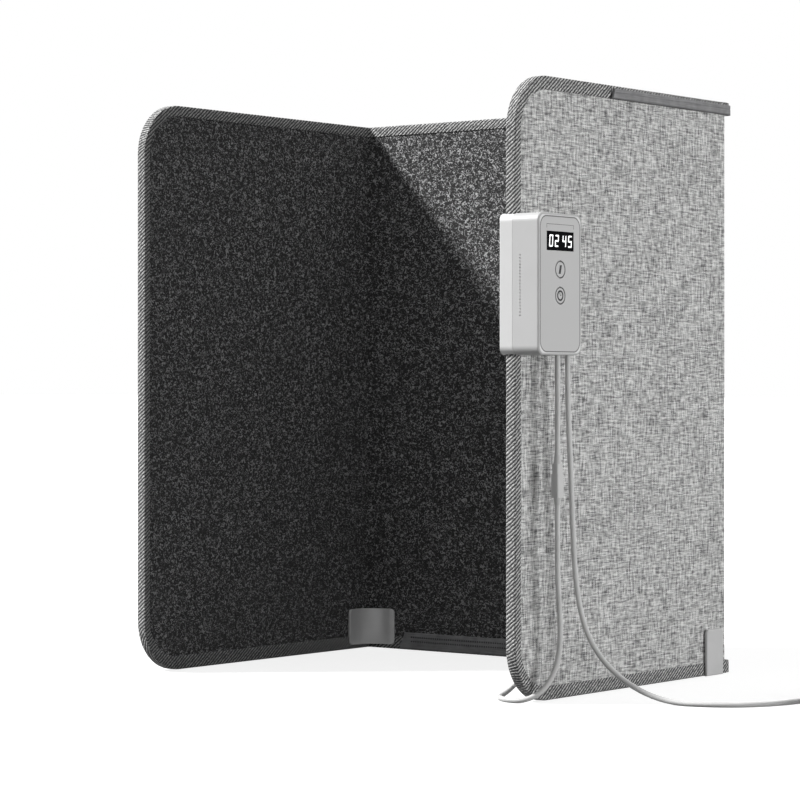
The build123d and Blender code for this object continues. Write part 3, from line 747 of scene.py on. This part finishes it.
def fold_sections(inner_leg):
    """Draw the tape's two sections at a fold, each with its roundings and the depth it bends about.

    The outer leg and the rest of the tape bend apart there."""
    outer = [
        (linen_face, 0),
        (linen_face, outside_leg),
        (tape_outside, outside_leg),
        (tape_outside, 0),
    ]
    inner = [
        (linen_face, 0),
        (tape_inside, 0),
        (tape_inside, inner_leg),
        (felt_face, inner_leg),
        (felt_face, tape_thickness),
        (linen_face, tape_thickness),
    ]
    return {
        "outer": (outer, {2: tape_end_rounding, 3: tape_thickness / 2}, linen_face),
        "inner": (inner, {1: tape_rounding, 2: tape_end_rounding}, tape_inside),
    }


for side in ("left", "right"):
    for place, (inner_leg, turned) in tape_runs.items():
        for layer, (corners, roundings, bend_depth) in fold_sections(inner_leg).items():
            bm = tape_end(corners, roundings, back_reach)
            take_round_fold(bm)
            if layer == "outer":
                square_off(bm, linen_face, tape_outside)
            if turned:
                turn_over(bm)
            if side == "left":
                mirror_to_left(bm)
            bm.normal_update()
            tape = tape_piece(f"{side}_fold_{place}_{layer}_tape", bm)
            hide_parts(f"{side}_fold_trim")
            blend_round_fold(tape)

# Cover zip
# Grey woven zip tape sewn over the edge tape along the top of the outside, for a zip-on cover.
# It starts at a slanted black stop on each side leaf, whose black also stands for painted shadow at
# the tape's open end, and runs on round the folds.

zip_face = 0.0012
zip_bare_edge = 0.0006
zip_bottom = panel_height - outside_leg
zip_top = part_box("back_cover_zip")[1].z - zip_bare_edge
zip_start = fold_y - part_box("right_cover_zip")[0].y
zip_groove = 0.0004
zip_groove_share = 0.62
zip_stop_length = 0.003
zip_stop_depth = 0.0018
zip_stop_lean = 0.35
zip_edge = 0.0004
zip_dark = (0.168, 0.168, 0.172)
zip_pale = (0.31, 0.31, 0.315)
# The dark band along a tape's foot is partly stitching and partly a painted shadow line under its
# edge.
stitched_shadow_band = 0.0018
stitched_shadow_tone = 0.35


def zip_end(x):
    """Draw the zip tape's section, with a groove where the halves meet."""
    middle = zip_bottom + (zip_top - zip_bottom) * zip_groove_share
    corners = [
        (tape_outside, zip_bottom),
        (tape_outside + zip_face, zip_bottom),
        (tape_outside + zip_face, middle - zip_groove),
        (tape_outside + zip_face - zip_groove, middle),
        (tape_outside + zip_face, middle + zip_groove),
        (tape_outside + zip_face, zip_top),
        (tape_outside, zip_top),
    ]
    return tape_end(corners, {1: tape_end_rounding, 5: tape_end_rounding}, x)


def woven_tape(name, dark, pale, foot, ribs=1600.0):
    """Fine ribbed tape: close level ribs over a plain weave, darker along its foot, where it is sewn
    and where a shadow line is painted.
    """
    material, tree, surface = start_material(name, pale, 0.8)
    place = cloth_place(tree)
    weave = place_group(tree, weave_group, {"Place": place, "Yarns to the metre": ribs})
    lines = cloud(tree, stretched(tree, place, (0.03, 1, 1)), 1100.0, roughness=0.6)
    wear = cloud(tree, object_place(tree), 120.0, detail=3.0)
    woven = mix_colours(tree, remap(tree, shares(tree, lines, wear, 0.6), 0.32, 0.66), dark, pale)
    # Painted shadow and stitching: a band along the foot is darkened.
    above = remap(tree, parts(tree, object_place(tree))[2], foot, foot + stitched_shadow_band)
    sewn = tuple(stitched_shadow_tone * channel for channel in dark)
    fill(tree, surface.inputs["Base Color"], mix_colours(tree, above, sewn, woven))
    add_relief(tree, surface, weave["Height"], distance=0.00015, strength=0.7)
    return material


zip_material = woven_tape("grey zip tape", zip_dark, zip_pale, zip_bottom)
stop_and_end_shadow_material = moulded("black zip stop and end shadow", (0.02, 0.02, 0.02), 0.4)


def zip_piece(name, bm, body, replaced):
    lay_out(bm, tape_outside, tape_outside + zip_face)
    piece = make_piece(name, bm, zip_material)
    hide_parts(replaced)
    if body:
        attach(piece, body)
    return piece


for leaf, (x_from, x_to) in {
    "left": (side_start, zip_start),
    "back": (-back_reach, back_reach),
    "right": (side_start, zip_start),
}.items():
    bm = zip_end(x_from)
    take_along(bm, x_to - x_from)
    put_on_leaf(bm, leaf)
    zip_piece(f"{leaf}_zip", bm, f"{leaf}_panel", f"{leaf}_cover_zip")

for side in ("left", "right"):
    bm = zip_end(back_reach)
    take_round_fold(bm)
    square_off(bm, linen_face, tape_outside)
    if side == "left":
        mirror_to_left(bm)
    fold_zip = zip_piece(f"{side}_fold_zip", bm, None, f"{side}_fold_trim")
    blend_round_fold(fold_zip)

    # The stop is partly the zip's end box and partly painted shadow: its black stands for the shade
    # at the tape's open end.
    stop = bmesh.new()
    size = Matrix.Diagonal((zip_stop_length, zip_stop_depth, zip_top - zip_bottom, 1))
    lean = Matrix.Identity(4)
    lean[0][2] = -zip_stop_lean
    x = zip_start - zip_stop_length / 2
    middle = (x, tape_outside + zip_stop_depth / 2, (zip_bottom + zip_top) / 2)
    bmesh.ops.create_cube(stop, size=1.0, matrix=Matrix.Translation(middle) @ lean @ size)
    bevel(stop, stop.edges[:], zip_edge, 3)
    put_on_leaf(stop, side)
    stop_piece = make_piece(f"{side}_zip_stop", stop, stop_and_end_shadow_material)
    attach(stop_piece, f"{side}_panel")
    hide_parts(f"{side}_cover_zip")

# Mat zip
# A coated zip tape along the foot of the back leaf's inside takes a foot mat. Its ends are
# cut on the slant, and its two rows of teeth lie along the middle.

mat_low, mat_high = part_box("mat_zip")
mat_face = tape_inside - zip_face
mat_size = (mat_high.x - mat_low.x, tape_inside - mat_face, mat_high.z - mat_low.z)
mat_slant = 0.007
mat_dark = (0.18, 0.18, 0.185)
mat_pale = (0.50, 0.50, 0.51)
mat_ribs = 900.0
tooth_pitch = 0.0026
tooth_size = (0.0017, 0.0006, 0.0015)
tooth_rows = (0.0082, 0.0122)

bm = bmesh.new()
place = Matrix.Translation((0, (mat_face + tape_inside) / 2, (mat_low.z + mat_high.z) / 2))
bmesh.ops.create_cube(bm, size=1.0, matrix=place @ Matrix.Diagonal((*mat_size, 1)))
for vert in bm.verts:
    if vert.co.z > place.translation.z:
        vert.co.x -= mat_slant if vert.co.x > 0 else -mat_slant
bevel(bm, bm.edges[:], zip_edge, 3)
put_on_leaf(bm, "back")
lay_out(bm, mat_face, tape_inside)
mat_material = woven_tape("coated mat zip tape", mat_dark, mat_pale, mat_low.z, mat_ribs)
mat_tape = make_piece("mat_zip_tape", bm, mat_material)
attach(mat_tape, "back_panel")
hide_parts("mat_zip")

tooth_material = moulded("dark zip teeth", (0.03, 0.03, 0.033), 0.35)
teeth = bmesh.new()
tooth_count = round((mat_size[0] - 4 * mat_slant) / tooth_pitch)
for row in tooth_rows:
    for number in range(tooth_count):
        x = (number - (tooth_count - 1) / 2) * tooth_pitch
        place = Matrix.Translation((x, mat_face, row)) @ Matrix.Diagonal((*tooth_size, 1))
        bmesh.ops.create_cube(teeth, size=1.0, matrix=place)
put_on_leaf(teeth, "back")
teeth_piece = make_piece("mat_zip_teeth", teeth, tooth_material)
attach(teeth_piece, "back_panel")

# Corner clips and plates
# A pale grey rubber corner sits inside each fold and keeps the leaves square. Plates on the
# outside hold it with posts that pass through the leaf into its bores.

clip_low, clip_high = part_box("right_corner_clip")
clip_wall = 0.0024
clip_tip = 0.0012
clip_reach = 0.0315
clip_bevel = 0.005
clip_cove = 0.021
clip_rounding = 0.004
clip_edge = 0.0005
clip_steps = 20
clip_seat = 0.0001
clip_shine = {"Specular IOR Level": 0.8, "Coat Weight": 0.5, "Coat Roughness": 0.35}
clip_material = moulded(
    "clip rubber", (0.80, 0.80, 0.80), 0.42,
    grains=1600.0, depth=0.00003, wear=0.05, levels=clip_shine,
)
plate_material = moulded("clip plate plastic", (0.55, 0.55, 0.55), 0.42, grains=2200.0)
cove_start = clip_cove + clip_wall


def corner_clip():
    """Build the clip in the corner of X and Y: a bevelled flap, a cove and the other flap."""
    bm = bmesh.new()
    corners = ((0, clip_low.z), (clip_tip, clip_low.z), (clip_tip, clip_high.z), (0, clip_high.z))
    verts = [bm.verts.new((clip_reach, depth, z)) for depth, z in corners]
    bm.faces.new(verts)
    bmesh.ops.delete(bm, geom=bm.faces[:], context="FACES_ONLY")
    rise = clip_wall - clip_tip

    def thicker(ends, step):
        face_verts = [end for end in ends if isinstance(end, bmesh.types.BMVert)]
        raised = sorted(face_verts, key=lambda vert: vert.co.dot(step))[-2:]
        bmesh.ops.translate(bm, vec=step * rise, verts=raised)

    last = run_on(bm, bm.verts[:] + bm.edges[:], (-clip_bevel, 0, 0))
    thicker(last, Vector((0, 1, 0)))
    last = run_on(bm, last, (cove_start + clip_bevel - clip_reach, 0, 0))
    last = turn_on(bm, last, (cove_start, cove_start, 0), (0, 0, 1), -90, clip_steps)
    last = run_on(bm, last, (0, clip_reach - clip_bevel - cove_start, 0))
    last = run_on(bm, last, (0, clip_bevel, 0))
    thicker(last, Vector((-1, 0, 0)))
    close_ends(bm)
    bm.edges.ensure_lookup_table()
    tips = [
        edge for edge in bm.edges
        if abs(edge.verts[0].co.z - edge.verts[1].co.z) < 1e-6
        and all(max(vert.co.x, vert.co.y) > clip_reach - 1e-6 for vert in edge.verts)
    ]
    bevel(bm, tips, clip_rounding, 6)
    sharp = [edge for edge in bm.edges if edge.calc_face_angle(0) > radians(40)]
    bevel(bm, sharp, clip_edge, 3)
    bm.normal_update()
    return bm


for side in ("left", "right"):
    bm = corner_clip()
    corner = (fold_x + felt_face - clip_seat, fold_y + felt_face - clip_seat, 0)
    place = Matrix.Translation(corner) @ Matrix.Rotation(pi, 4, "Z")
    bmesh.ops.transform(bm, matrix=place, verts=bm.verts)
    if side == "left":
        mirror_to_left(bm)
    clip = make_piece(f"{side}_clip", bm, clip_material)
    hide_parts(f"{side}_corner_clip")
    blend_round_fold(clip)

for name in ("left_clip_plate", "back_clip_plates", "right_clip_plate"):
    finish_node(name, plate_material)

# Control box
# A pale grey moulded box hooks over the right leaf's free edge. Its closing plate carries the
# hook. A printed sheet, a dark window and two grey keys fill its front, over the electronics.

sheet_rim = 0.0010
sheet_corner = 0.0085
# Half the width of the painted shade line along the groove round the print.
groove_shade_half_width = 0.0005
print_grey = (0.55, 0.55, 0.55)
groove_shade_grey = (0.17, 0.17, 0.17)
sheet_white = (0.78, 0.78, 0.78)
case_material = moulded("pale moulded case", (0.52, 0.52, 0.52), 0.48, grains=2600.0, wear=0.02)
hook_material = moulded("white moulded hook", (0.66, 0.66, 0.66), 0.45, grains=2600.0, wear=0.02)


def middle_of(name, axis):
    low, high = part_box(name)
    return (low[axis] + high[axis]) / 2


def printed_sheet():
    """Grey print with round corners, ringed by a thin dark line of painted shade for the groove at
    the case's rim, on a white sheet with a bare edge.
    """
    material, tree, surface = start_material("printed control sheet", print_grey, 0.55)
    low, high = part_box("control_overlay")
    place = parts(tree, object_place(tree))
    squares = []
    for axis in (1, 2):
        off_middle = maths(tree, "SUBTRACT", place[axis], middle_of("control_overlay", axis))
        straight = (high[axis] - low[axis]) / 2 - sheet_rim - sheet_corner
        past = maths(tree, "SUBTRACT", maths(tree, "ABSOLUTE", off_middle), straight)
        past = maths(tree, "MAXIMUM", past, 0.0)
        squares.append(times(tree, past, past))
    beyond = maths(tree, "SUBTRACT", maths(tree, "SQRT", plus(tree, *squares)), sheet_corner)
    # Painted shade: a thin dark line stands for the groove between the sheet and the case's rim.
    off_print = maths(tree, "GREATER_THAN", beyond, -groove_shade_half_width)
    off_groove_shade = maths(tree, "GREATER_THAN", beyond, groove_shade_half_width)
    colour = mix_colours(tree, off_print, print_grey, groove_shade_grey)
    fill(tree, surface.inputs["Base Color"], mix_colours(tree, off_groove_shade, colour, sheet_white))
    add_relief(tree, surface, moulded_grain(tree, 3200.0)["Height"], distance=0.00001)
    return material


overlay_material = printed_sheet()
window_dull = {"Specular IOR Level": 0.01}
window_material = moulded(
    "dark window", (0.003, 0.003, 0.004), 0.25,
    grains=1200.0, depth=0.000002, wear=0.0, levels=window_dull,
)
digit_block_material = moulded("digit block", (0.02, 0.02, 0.02), 0.6)
key_material = moulded(
    "key plastic", (0.55, 0.55, 0.55), 0.55, grains=2600.0, depth=0.00001, wear=0.02
)
switch_material = moulded("black moulded parts", (0.02, 0.02, 0.022), 0.5)
laminate_material = moulded("circuit laminate", (0.015, 0.09, 0.04), 0.3, grains=1800.0, wear=0.06)
can_material = moulded(
    "sleeved can", (0.55, 0.55, 0.57), 0.3, grains=1500.0, depth=0.00001, wear=0.05, metallic=1.0
)
screw_material = moulded(
    "plated steel", (0.56, 0.56, 0.55), 0.35, grains=1800.0, wear=0.08, metallic=1.0
)
for name, material in {
    "control_case_front": case_material,
    "control_case_hook": hook_material,
    "control_overlay": overlay_material,
    "display_window": window_material,
    "display_module": digit_block_material,
    "power_key": key_material,
    "timer_key": key_material,
    "key_switches": switch_material,
    "circuit_board": laminate_material,
    "relay": switch_material,
    "capacitor": can_material,
    "case_screws": screw_material,
    "heater_lead_gland": case_material,
    "mains_cord_gland": case_material,
    "thermal_cutout": switch_material,
}.items():
    finish_node(name, material)

# Printing and digits
# Dark ink prints a bracket over the window and plain marks on the keys, and the window shows
# plain white digits. Places are as seen from in front: across and up.

window_low, window_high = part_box("display_window")
print_thickness = 0.00004
panel_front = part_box("control_overlay")[1].x
panel_y = middle_of("control_overlay", 1)
ink_material = moulded("dark ink", (0.015, 0.015, 0.017), 0.6)
digit_light = {"Emission Color": (1, 1, 1, 1), "Emission Strength": 0.6}
digit_material = start_material("lit digit", (0.9, 0.9, 0.9), 0.4, levels=digit_light)[0]


def mark(name, bm, across, up, body, material):
    """Carry a flat mark, drawn about the origin, to its place on the front, a film thick."""
    bmesh.ops.solidify(bm, geom=bm.faces[:], thickness=-print_thickness)
    front = Matrix(((0, 0, 1, panel_front), (1, 0, 0, panel_y + across), (0, 1, 0, up), (0, 0, 0, 1)))
    bmesh.ops.transform(bm, matrix=front, verts=bm.verts)
    bmesh.ops.recalc_face_normals(bm, faces=bm.faces)
    piece = make_piece(name, bm, material)
    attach(piece, body)


def key_mark(key, name, bm):
    mark(f"{key}_{name}", bm, 0, middle_of(key, 2), key, ink_material)


def rectangle(width, height):
    bm = bmesh.new()
    bmesh.ops.create_grid(bm, x_segments=1, y_segments=1, size=0.5)
    bmesh.ops.scale(bm, vec=(width, height, 1), verts=bm.verts)
    return bm


def ring(radius, line):
    """Keep only a line along the edge of a flat round face."""
    bm = bmesh.new()
    bmesh.ops.create_circle(bm, cap_ends=True, radius=radius, segments=56)
    inner = bm.faces[:]
    bmesh.ops.inset_region(bm, faces=inner, thickness=line, use_even_offset=True, use_boundary=True)
    bmesh.ops.delete(bm, geom=inner, context="FACES")
    return bm


bracket_width = window_high.y - window_low.y
bracket_rise = 0.0056
bracket_drop = 0.0032
bracket_line = 0.0003
for name, width, height, across, up in (
    ("bracket_top", bracket_width, bracket_line, 0, bracket_rise),
    ("bracket_left", bracket_line, bracket_drop, -bracket_width / 2, bracket_rise - bracket_drop / 2),
    ("bracket_right", bracket_line, bracket_drop, bracket_width / 2, bracket_rise - bracket_drop / 2),
):
    stroke = rectangle(width, height)
    mark(name, stroke, across, window_high.z + up, "right_panel", ink_material)

digit_height = 0.0096
digit_width = 0.0052
segment_width = 0.0013
segment_gap = 0.0002
digit_lean = 0.07
digit_places = {-0.0125: "0", -0.0047: "2", 0.0056: "4", 0.0134: "5"}
segments = {
    "top": (0, 1, True), "middle": (0, 0, True), "foot": (0, -1, True),
    "upper_left": (-1, 0.5, False), "upper_right": (1, 0.5, False),
    "lower_left": (-1, -0.5, False), "lower_right": (1, -0.5, False),
}
lit_segments = {
    "0": ("top", "foot", "upper_left", "upper_right", "lower_left", "lower_right"),
    "2": ("top", "middle", "foot", "upper_right", "lower_left"),
    "4": ("middle", "upper_left", "upper_right", "lower_right"),
    "5": ("top", "middle", "foot", "upper_left", "lower_right"),
}


def digit(character):
    """Draw one seven-segment digit: each segment is a bar with pointed ends."""
    bm = bmesh.new()
    reach_x = (digit_width - segment_width) / 2
    reach_y = (digit_height - segment_width) / 2
    for name in lit_segments[character]:
        across, up, level = segments[name]
        length = (2 * reach_x if level else reach_y) - segment_gap
        bar = rectangle(length + segment_width, segment_width)
        bevel(bar, bar.verts[:], segment_width / 2 - 1e-5, 1, "VERTICES")
        turn = Matrix.Rotation(0 if level else pi / 2, 4, "Z")
        place = Matrix.Translation((across * reach_x, up * reach_y, 0))
        bmesh.ops.transform(bar, matrix=place @ turn, verts=bar.verts)
        part = bpy.data.meshes.new(name)
        bar.to_mesh(part)
        bar.free()
        bm.from_mesh(part)
        bpy.data.meshes.remove(part)
    for vert in bm.verts:
        vert.co.x += vert.co.y * digit_lean
    return bm


for number, (across, character) in enumerate(digit_places.items()):
    bm = digit(character)
    up = middle_of("display_window", 2)
    mark(f"digit_{number + 1}", bm, across, up, "right_panel", digit_material)

edge_ring = (0.0066, 0.0006)
dial_ring = (0.0043, 0.0015)
for key, rings in {"power_key": [edge_ring], "timer_key": [edge_ring, dial_ring]}.items():
    for number, (radius, line) in enumerate(rings):
        key_mark(key, f"ring_{number + 1}", ring(radius, line))

stroke_length = 0.0070
stroke_width = 0.0028
stroke_lean = 0.25
bm = rectangle(stroke_width, stroke_length)
for vert in bm.verts:
    vert.co.x += vert.co.y * stroke_lean
key_mark("power_key", "stroke", bm)

hand_width = 0.0005
for name, length, turn in (("hand_long", 0.0024, 20.0), ("hand_short", 0.0017, -70.0)):
    bm = rectangle(hand_width, length)
    bmesh.ops.translate(bm, vec=(0, length / 2, 0), verts=bm.verts)
    spin = Matrix.Rotation(radians(turn), 3, "Z")
    bmesh.ops.rotate(bm, cent=(0, 0, 0), matrix=spin, verts=bm.verts)
    key_mark("timer_key", name, bm)

# Heater lead
# A pale grey round lead hangs from the box into an inline connector, and goes on under the
# leaf's rounded corner to a grommet in the felt of the inside.

cord_diameter = 0.0044
jacket_grey = (0.58, 0.58, 0.575)
jacket_pale = (0.66, 0.66, 0.655)
lead_exit = (0.2225, -0.2878, 0.276)
connector_top = (0.2225, -0.2878, 0.197)
connector_bottom = (0.2225, -0.2878, 0.1575)
upper_route = [
    lead_exit,
    (0.2225, -0.2878, 0.256),
    (0.2232, -0.2884, 0.2365),
    (0.2225, -0.2878, 0.217),
    connector_top,
]
lower_route = [
    connector_bottom,
    (0.2225, -0.2878, 0.132),
    (0.2232, -0.2888, 0.106),
    (0.2229, -0.2862, 0.080),
    (0.2223, -0.2830, 0.055),
    (0.2210, -0.2844, 0.033),
    (0.2174, -0.2910, 0.0165),
    (0.2112, -0.2998, 0.0065),
    (0.2008, -0.3064, 0.0022),
    (0.1870, -0.3072, 0.0022),
    (0.1752, -0.3014, 0.0024),
    (0.1690, -0.2906, 0.0026),
    (0.1712, -0.2800, 0.0075),
    (0.1800, -0.2730, 0.0200),
    (0.1938, -0.2730, 0.0234),
]


def cord_jacket():
    """Pale grey jacket: a soft sheen, a fine even grain and a little handling dirt."""
    softness = {"Subsurface Weight": 0.4, "Subsurface Radius": (1, 1, 1), "Subsurface Scale": 0.002}
    material, tree, surface = start_material("cord jacket", jacket_pale, 0.42, levels=softness)
    grain = moulded_grain(tree, 1800.0)
    colour = mix_colours(tree, grain["Wear"], jacket_grey, jacket_pale)
    fill(tree, surface.inputs["Base Color"], colour)
    fill(tree, surface.inputs["Roughness"], remap(tree, grain["Wear"], 0, 1, 0.5, 0.36))
    add_relief(tree, surface, grain["Height"], distance=0.00002)
    return material


def lay_cord(name, route, material):
    """Run a round cord along a smooth line through a route's points."""
    curve = bpy.data.curves.new(name, "CURVE")
    curve.dimensions = "3D"
    spline = curve.splines.new("NURBS")
    spline.points.add(len(route) - 1)
    for point, place in zip(spline.points, route):
        point.co = (*place, 1)
    spline.order_u = 3
    spline.use_endpoint_u = True
    spline.resolution_u = 6
    curve.bevel_depth = cord_diameter / 2
    curve.bevel_resolution = 5
    curve.use_fill_caps = True
    curve.materials.append(material)
    cord = bpy.data.objects.new(name, curve)
    bpy.context.scene.collection.objects.link(cord)
    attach(cord, "right_panel")
    return cord


jacket_material = cord_jacket()
connector_material = moulded(
    "white moulded connector", (0.60, 0.60, 0.595), 0.45, grains=2400.0, wear=0.03
)
for name in ("connector_socket", "connector_plug", "lead_grommet"):
    finish_node(name, connector_material)
upper_lead = lay_cord("upper_heater_lead", upper_route, jacket_material)
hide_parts("heater_lead_upper")
lower_lead = lay_cord("lower_heater_lead", lower_route, jacket_material)
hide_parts("heater_lead_lower")

# Mains cord
# The cord hangs beside the lead and runs away over the floor. What is left of its 1.7 m is
# put away as a flat coil of two layers, with the two-pin plug beside it.

mains_exit = (0.2225, -0.2736, 0.276)
floor_z = cord_diameter / 2
mains_route = [
    mains_exit,
    (0.2225, -0.2736, 0.247),
    (0.2229, -0.2726, 0.219),
    (0.2231, -0.2706, 0.190),
    (0.2232, -0.2690, 0.162),
    (0.2235, -0.2676, 0.134),
    (0.2240, -0.2655, 0.102),
    (0.2270, -0.2630, 0.073),
    (0.2345, -0.2600, 0.048),
    (0.2500, -0.2560, 0.027),
    (0.2730, -0.2510, 0.011),
    (0.3000, -0.2450, floor_z),
    (0.3300, -0.2386, floor_z),
    (0.3540, -0.2225, floor_z),
    (0.3690, -0.1965, floor_z),
    (0.3750, -0.1680, floor_z),
    (0.37615, -0.1410, floor_z),
]
coil_centre = (0.412, -0.110)
coil_across = 0.0528
coil_pitch = 0.0054
coil_rise = 0.00495
coil_climb_inset = 0.0006
coil_half_turns = 7
points_to_half_turn = 12
coil_outer = coil_across / 2 + coil_half_turns * coil_pitch / 4
pin_sleeve = 0.010
pin_metal = (0.7, 0.69, 0.66)
pin_black = (0.02, 0.02, 0.02)


def coil_crossings():
    """List where the turns cross the line through the middle, in and then out again."""
    reaches = [coil_outer - number * coil_pitch / 2 for number in range(coil_half_turns + 1)]
    reaches[-1] -= coil_climb_inset
    places = [(reach, floor_z) for reach in reaches]
    places += [(reach, floor_z + coil_rise) for reach in reversed(reaches)]
    return [
        Vector((coil_centre[0] + (-1) ** (number + 1) * reach, coil_centre[1], z))
        for number, (reach, z) in enumerate(places)
    ]


crossings = coil_crossings()
coil_lead_in = Vector((0, cord_diameter, 0))
mains_route.append(tuple(crossings[0] - coil_lead_in))
for number, (start, end) in enumerate(zip(crossings, crossings[1:])):
    middle = (start + end) / 2
    radius = (end - start).length / 2
    for step in range(points_to_half_turn):
        angle = pi * step / points_to_half_turn
        bow = Vector((0, (-1) ** number * radius * sin(angle), 0))
        mains_route.append(tuple(middle + (start - middle) * cos(angle) + bow))
mains_route.append(tuple(crossings[-1]))
mains_route.append(tuple(crossings[-1] - coil_lead_in))

plug_material = moulded("moulded plug", (0.50, 0.50, 0.49), 0.35, grains=2200.0, wear=0.03)
finish_node("mains_plug", plug_material)


def sleeved_pins():
    """Plated pins, black plastic where they are sleeved near the plug."""
    material, tree, surface = start_material("sleeved pins", pin_metal, 0.25, 1.0)
    sleeve_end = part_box("plug_pins")[1].y - pin_sleeve
    sleeved = maths(tree, "GREATER_THAN", parts(tree, object_place(tree))[1], sleeve_end)
    fill(tree, surface.inputs["Base Color"], mix_colours(tree, sleeved, pin_metal, pin_black))
    fill(tree, surface.inputs["Metallic"], maths(tree, "SUBTRACT", 1.0, sleeved))
    fill(tree, surface.inputs["Roughness"], remap(tree, sleeved, 0, 1, 0.22, 0.5))
    return material


finish_node("plug_pins", sleeved_pins())
mains = lay_cord("mains_lead", mains_route, jacket_material)
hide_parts("mains_cord", "mains_cord_coil")

# Floor, lights and camera
# A plain pale floor, a high key light from the front left, a soft one from the right, a weak
# one behind, and a sky that is brightest overhead. The camera is level with the leaves' middle.

floor_half_width = 40.0
floor_unseen = (0.10, 0.10, 0.10)
floor_seen = (0.38, 0.38, 0.38)
floor_glow = 0.80
sky_low = 0.04
sky_high = 0.62
key_towards = (-0.60, -0.50, 0.66)
back_towards = (-0.25, 1.0, 0.30)


def seen_rays(tree):
    """Give 1 to the rays that see a thing and 0 to those that only light it."""
    rays = add_node(tree, "ShaderNodeLightPath").outputs
    seen = plus(tree, rays["Is Camera Ray"], rays["Is Glossy Ray"])
    return maths(tree, "MINIMUM", plus(tree, seen, rays["Is Transmission Ray"]), 1.0)


def pale_floor():
    """Pale floor that glows to the eye, but sends little light back up."""
    levels = {"Emission Color": (1, 1, 1, 1), "Specular IOR Level": 0.0}
    material, tree, surface = start_material("pale floor", floor_unseen, 0.9, levels=levels)
    seen = seen_rays(tree)
    fill(tree, surface.inputs["Base Color"], mix_colours(tree, seen, floor_unseen, floor_seen))
    fill(tree, surface.inputs["Emission Strength"], times(tree, seen, floor_glow))
    return material


floor_mesh = bmesh.new()
bmesh.ops.create_grid(floor_mesh, x_segments=1, y_segments=1, size=floor_half_width)
floor = make_piece("floor", floor_mesh, pale_floor())

world = bpy.data.worlds.new("studio")
bpy.context.scene.world = world
world.use_nodes = True
sky = world.node_tree
sky_light = sky.nodes["Background"]
sky_height = parts(sky, add_node(sky, "ShaderNodeTexCoord").outputs["Generated"])[2]
sky_even = remap(sky, sky_height, 0.0, 1.0, sky_low, sky_high)
fill(sky, sky_light.inputs["Strength"], mix_values(sky, seen_rays(sky), sky_even, 1.0))
sky_light.inputs["Color"].default_value = (1, 1, 1, 1)


def add_light(lamp, towards):
    """Hang a lamp whose back points this way, so that it shines the other."""
    holder = bpy.data.objects.new(lamp.name, lamp)
    holder.rotation_mode = "QUATERNION"
    holder.rotation_quaternion = Vector(towards).to_track_quat("Z", "Y")
    bpy.context.scene.collection.objects.link(holder)
    return holder


def add_sun(name, towards, strength, softness):
    lamp = bpy.data.lights.new(name, "SUN")
    lamp.energy = strength
    lamp.angle = radians(softness)
    add_light(lamp, towards)


add_sun("key", key_towards, strength=5.2, softness=7.0)
add_sun("back", back_towards, strength=0.6, softness=40.0)

# The side light is a softbox lower than the leaves, so the right leaf keeps it off the felt.
softbox = bpy.data.lights.new("side", "AREA")
softbox.shape = "RECTANGLE"
softbox.size = 1.6
softbox.size_y = 0.62
softbox.energy = 73.0
softbox_place = Vector((3.55, 0.55, 0.29))
softbox_aim = Vector((fold_x, fold_y - 0.16, 0.24))
softbox_holder = add_light(softbox, softbox_place - softbox_aim)
softbox_holder.location = softbox_place
softbox_holder.visible_camera = False
softbox_holder.visible_glossy = False

camera_data = bpy.data.cameras.new("camera")
camera_data.sensor_width = 36.0
camera_data.lens = 126.6
camera_data.shift_y = -0.0209
camera = bpy.data.objects.new("camera", camera_data)
camera.location = (1.4957, -2.1220, 0.2538)
camera.rotation_euler = (radians(90), 0, radians(37.97))
bpy.context.scene.collection.objects.link(camera)
bpy.context.scene.camera = camera
bpy.context.scene.view_settings.view_transform = "Standard"
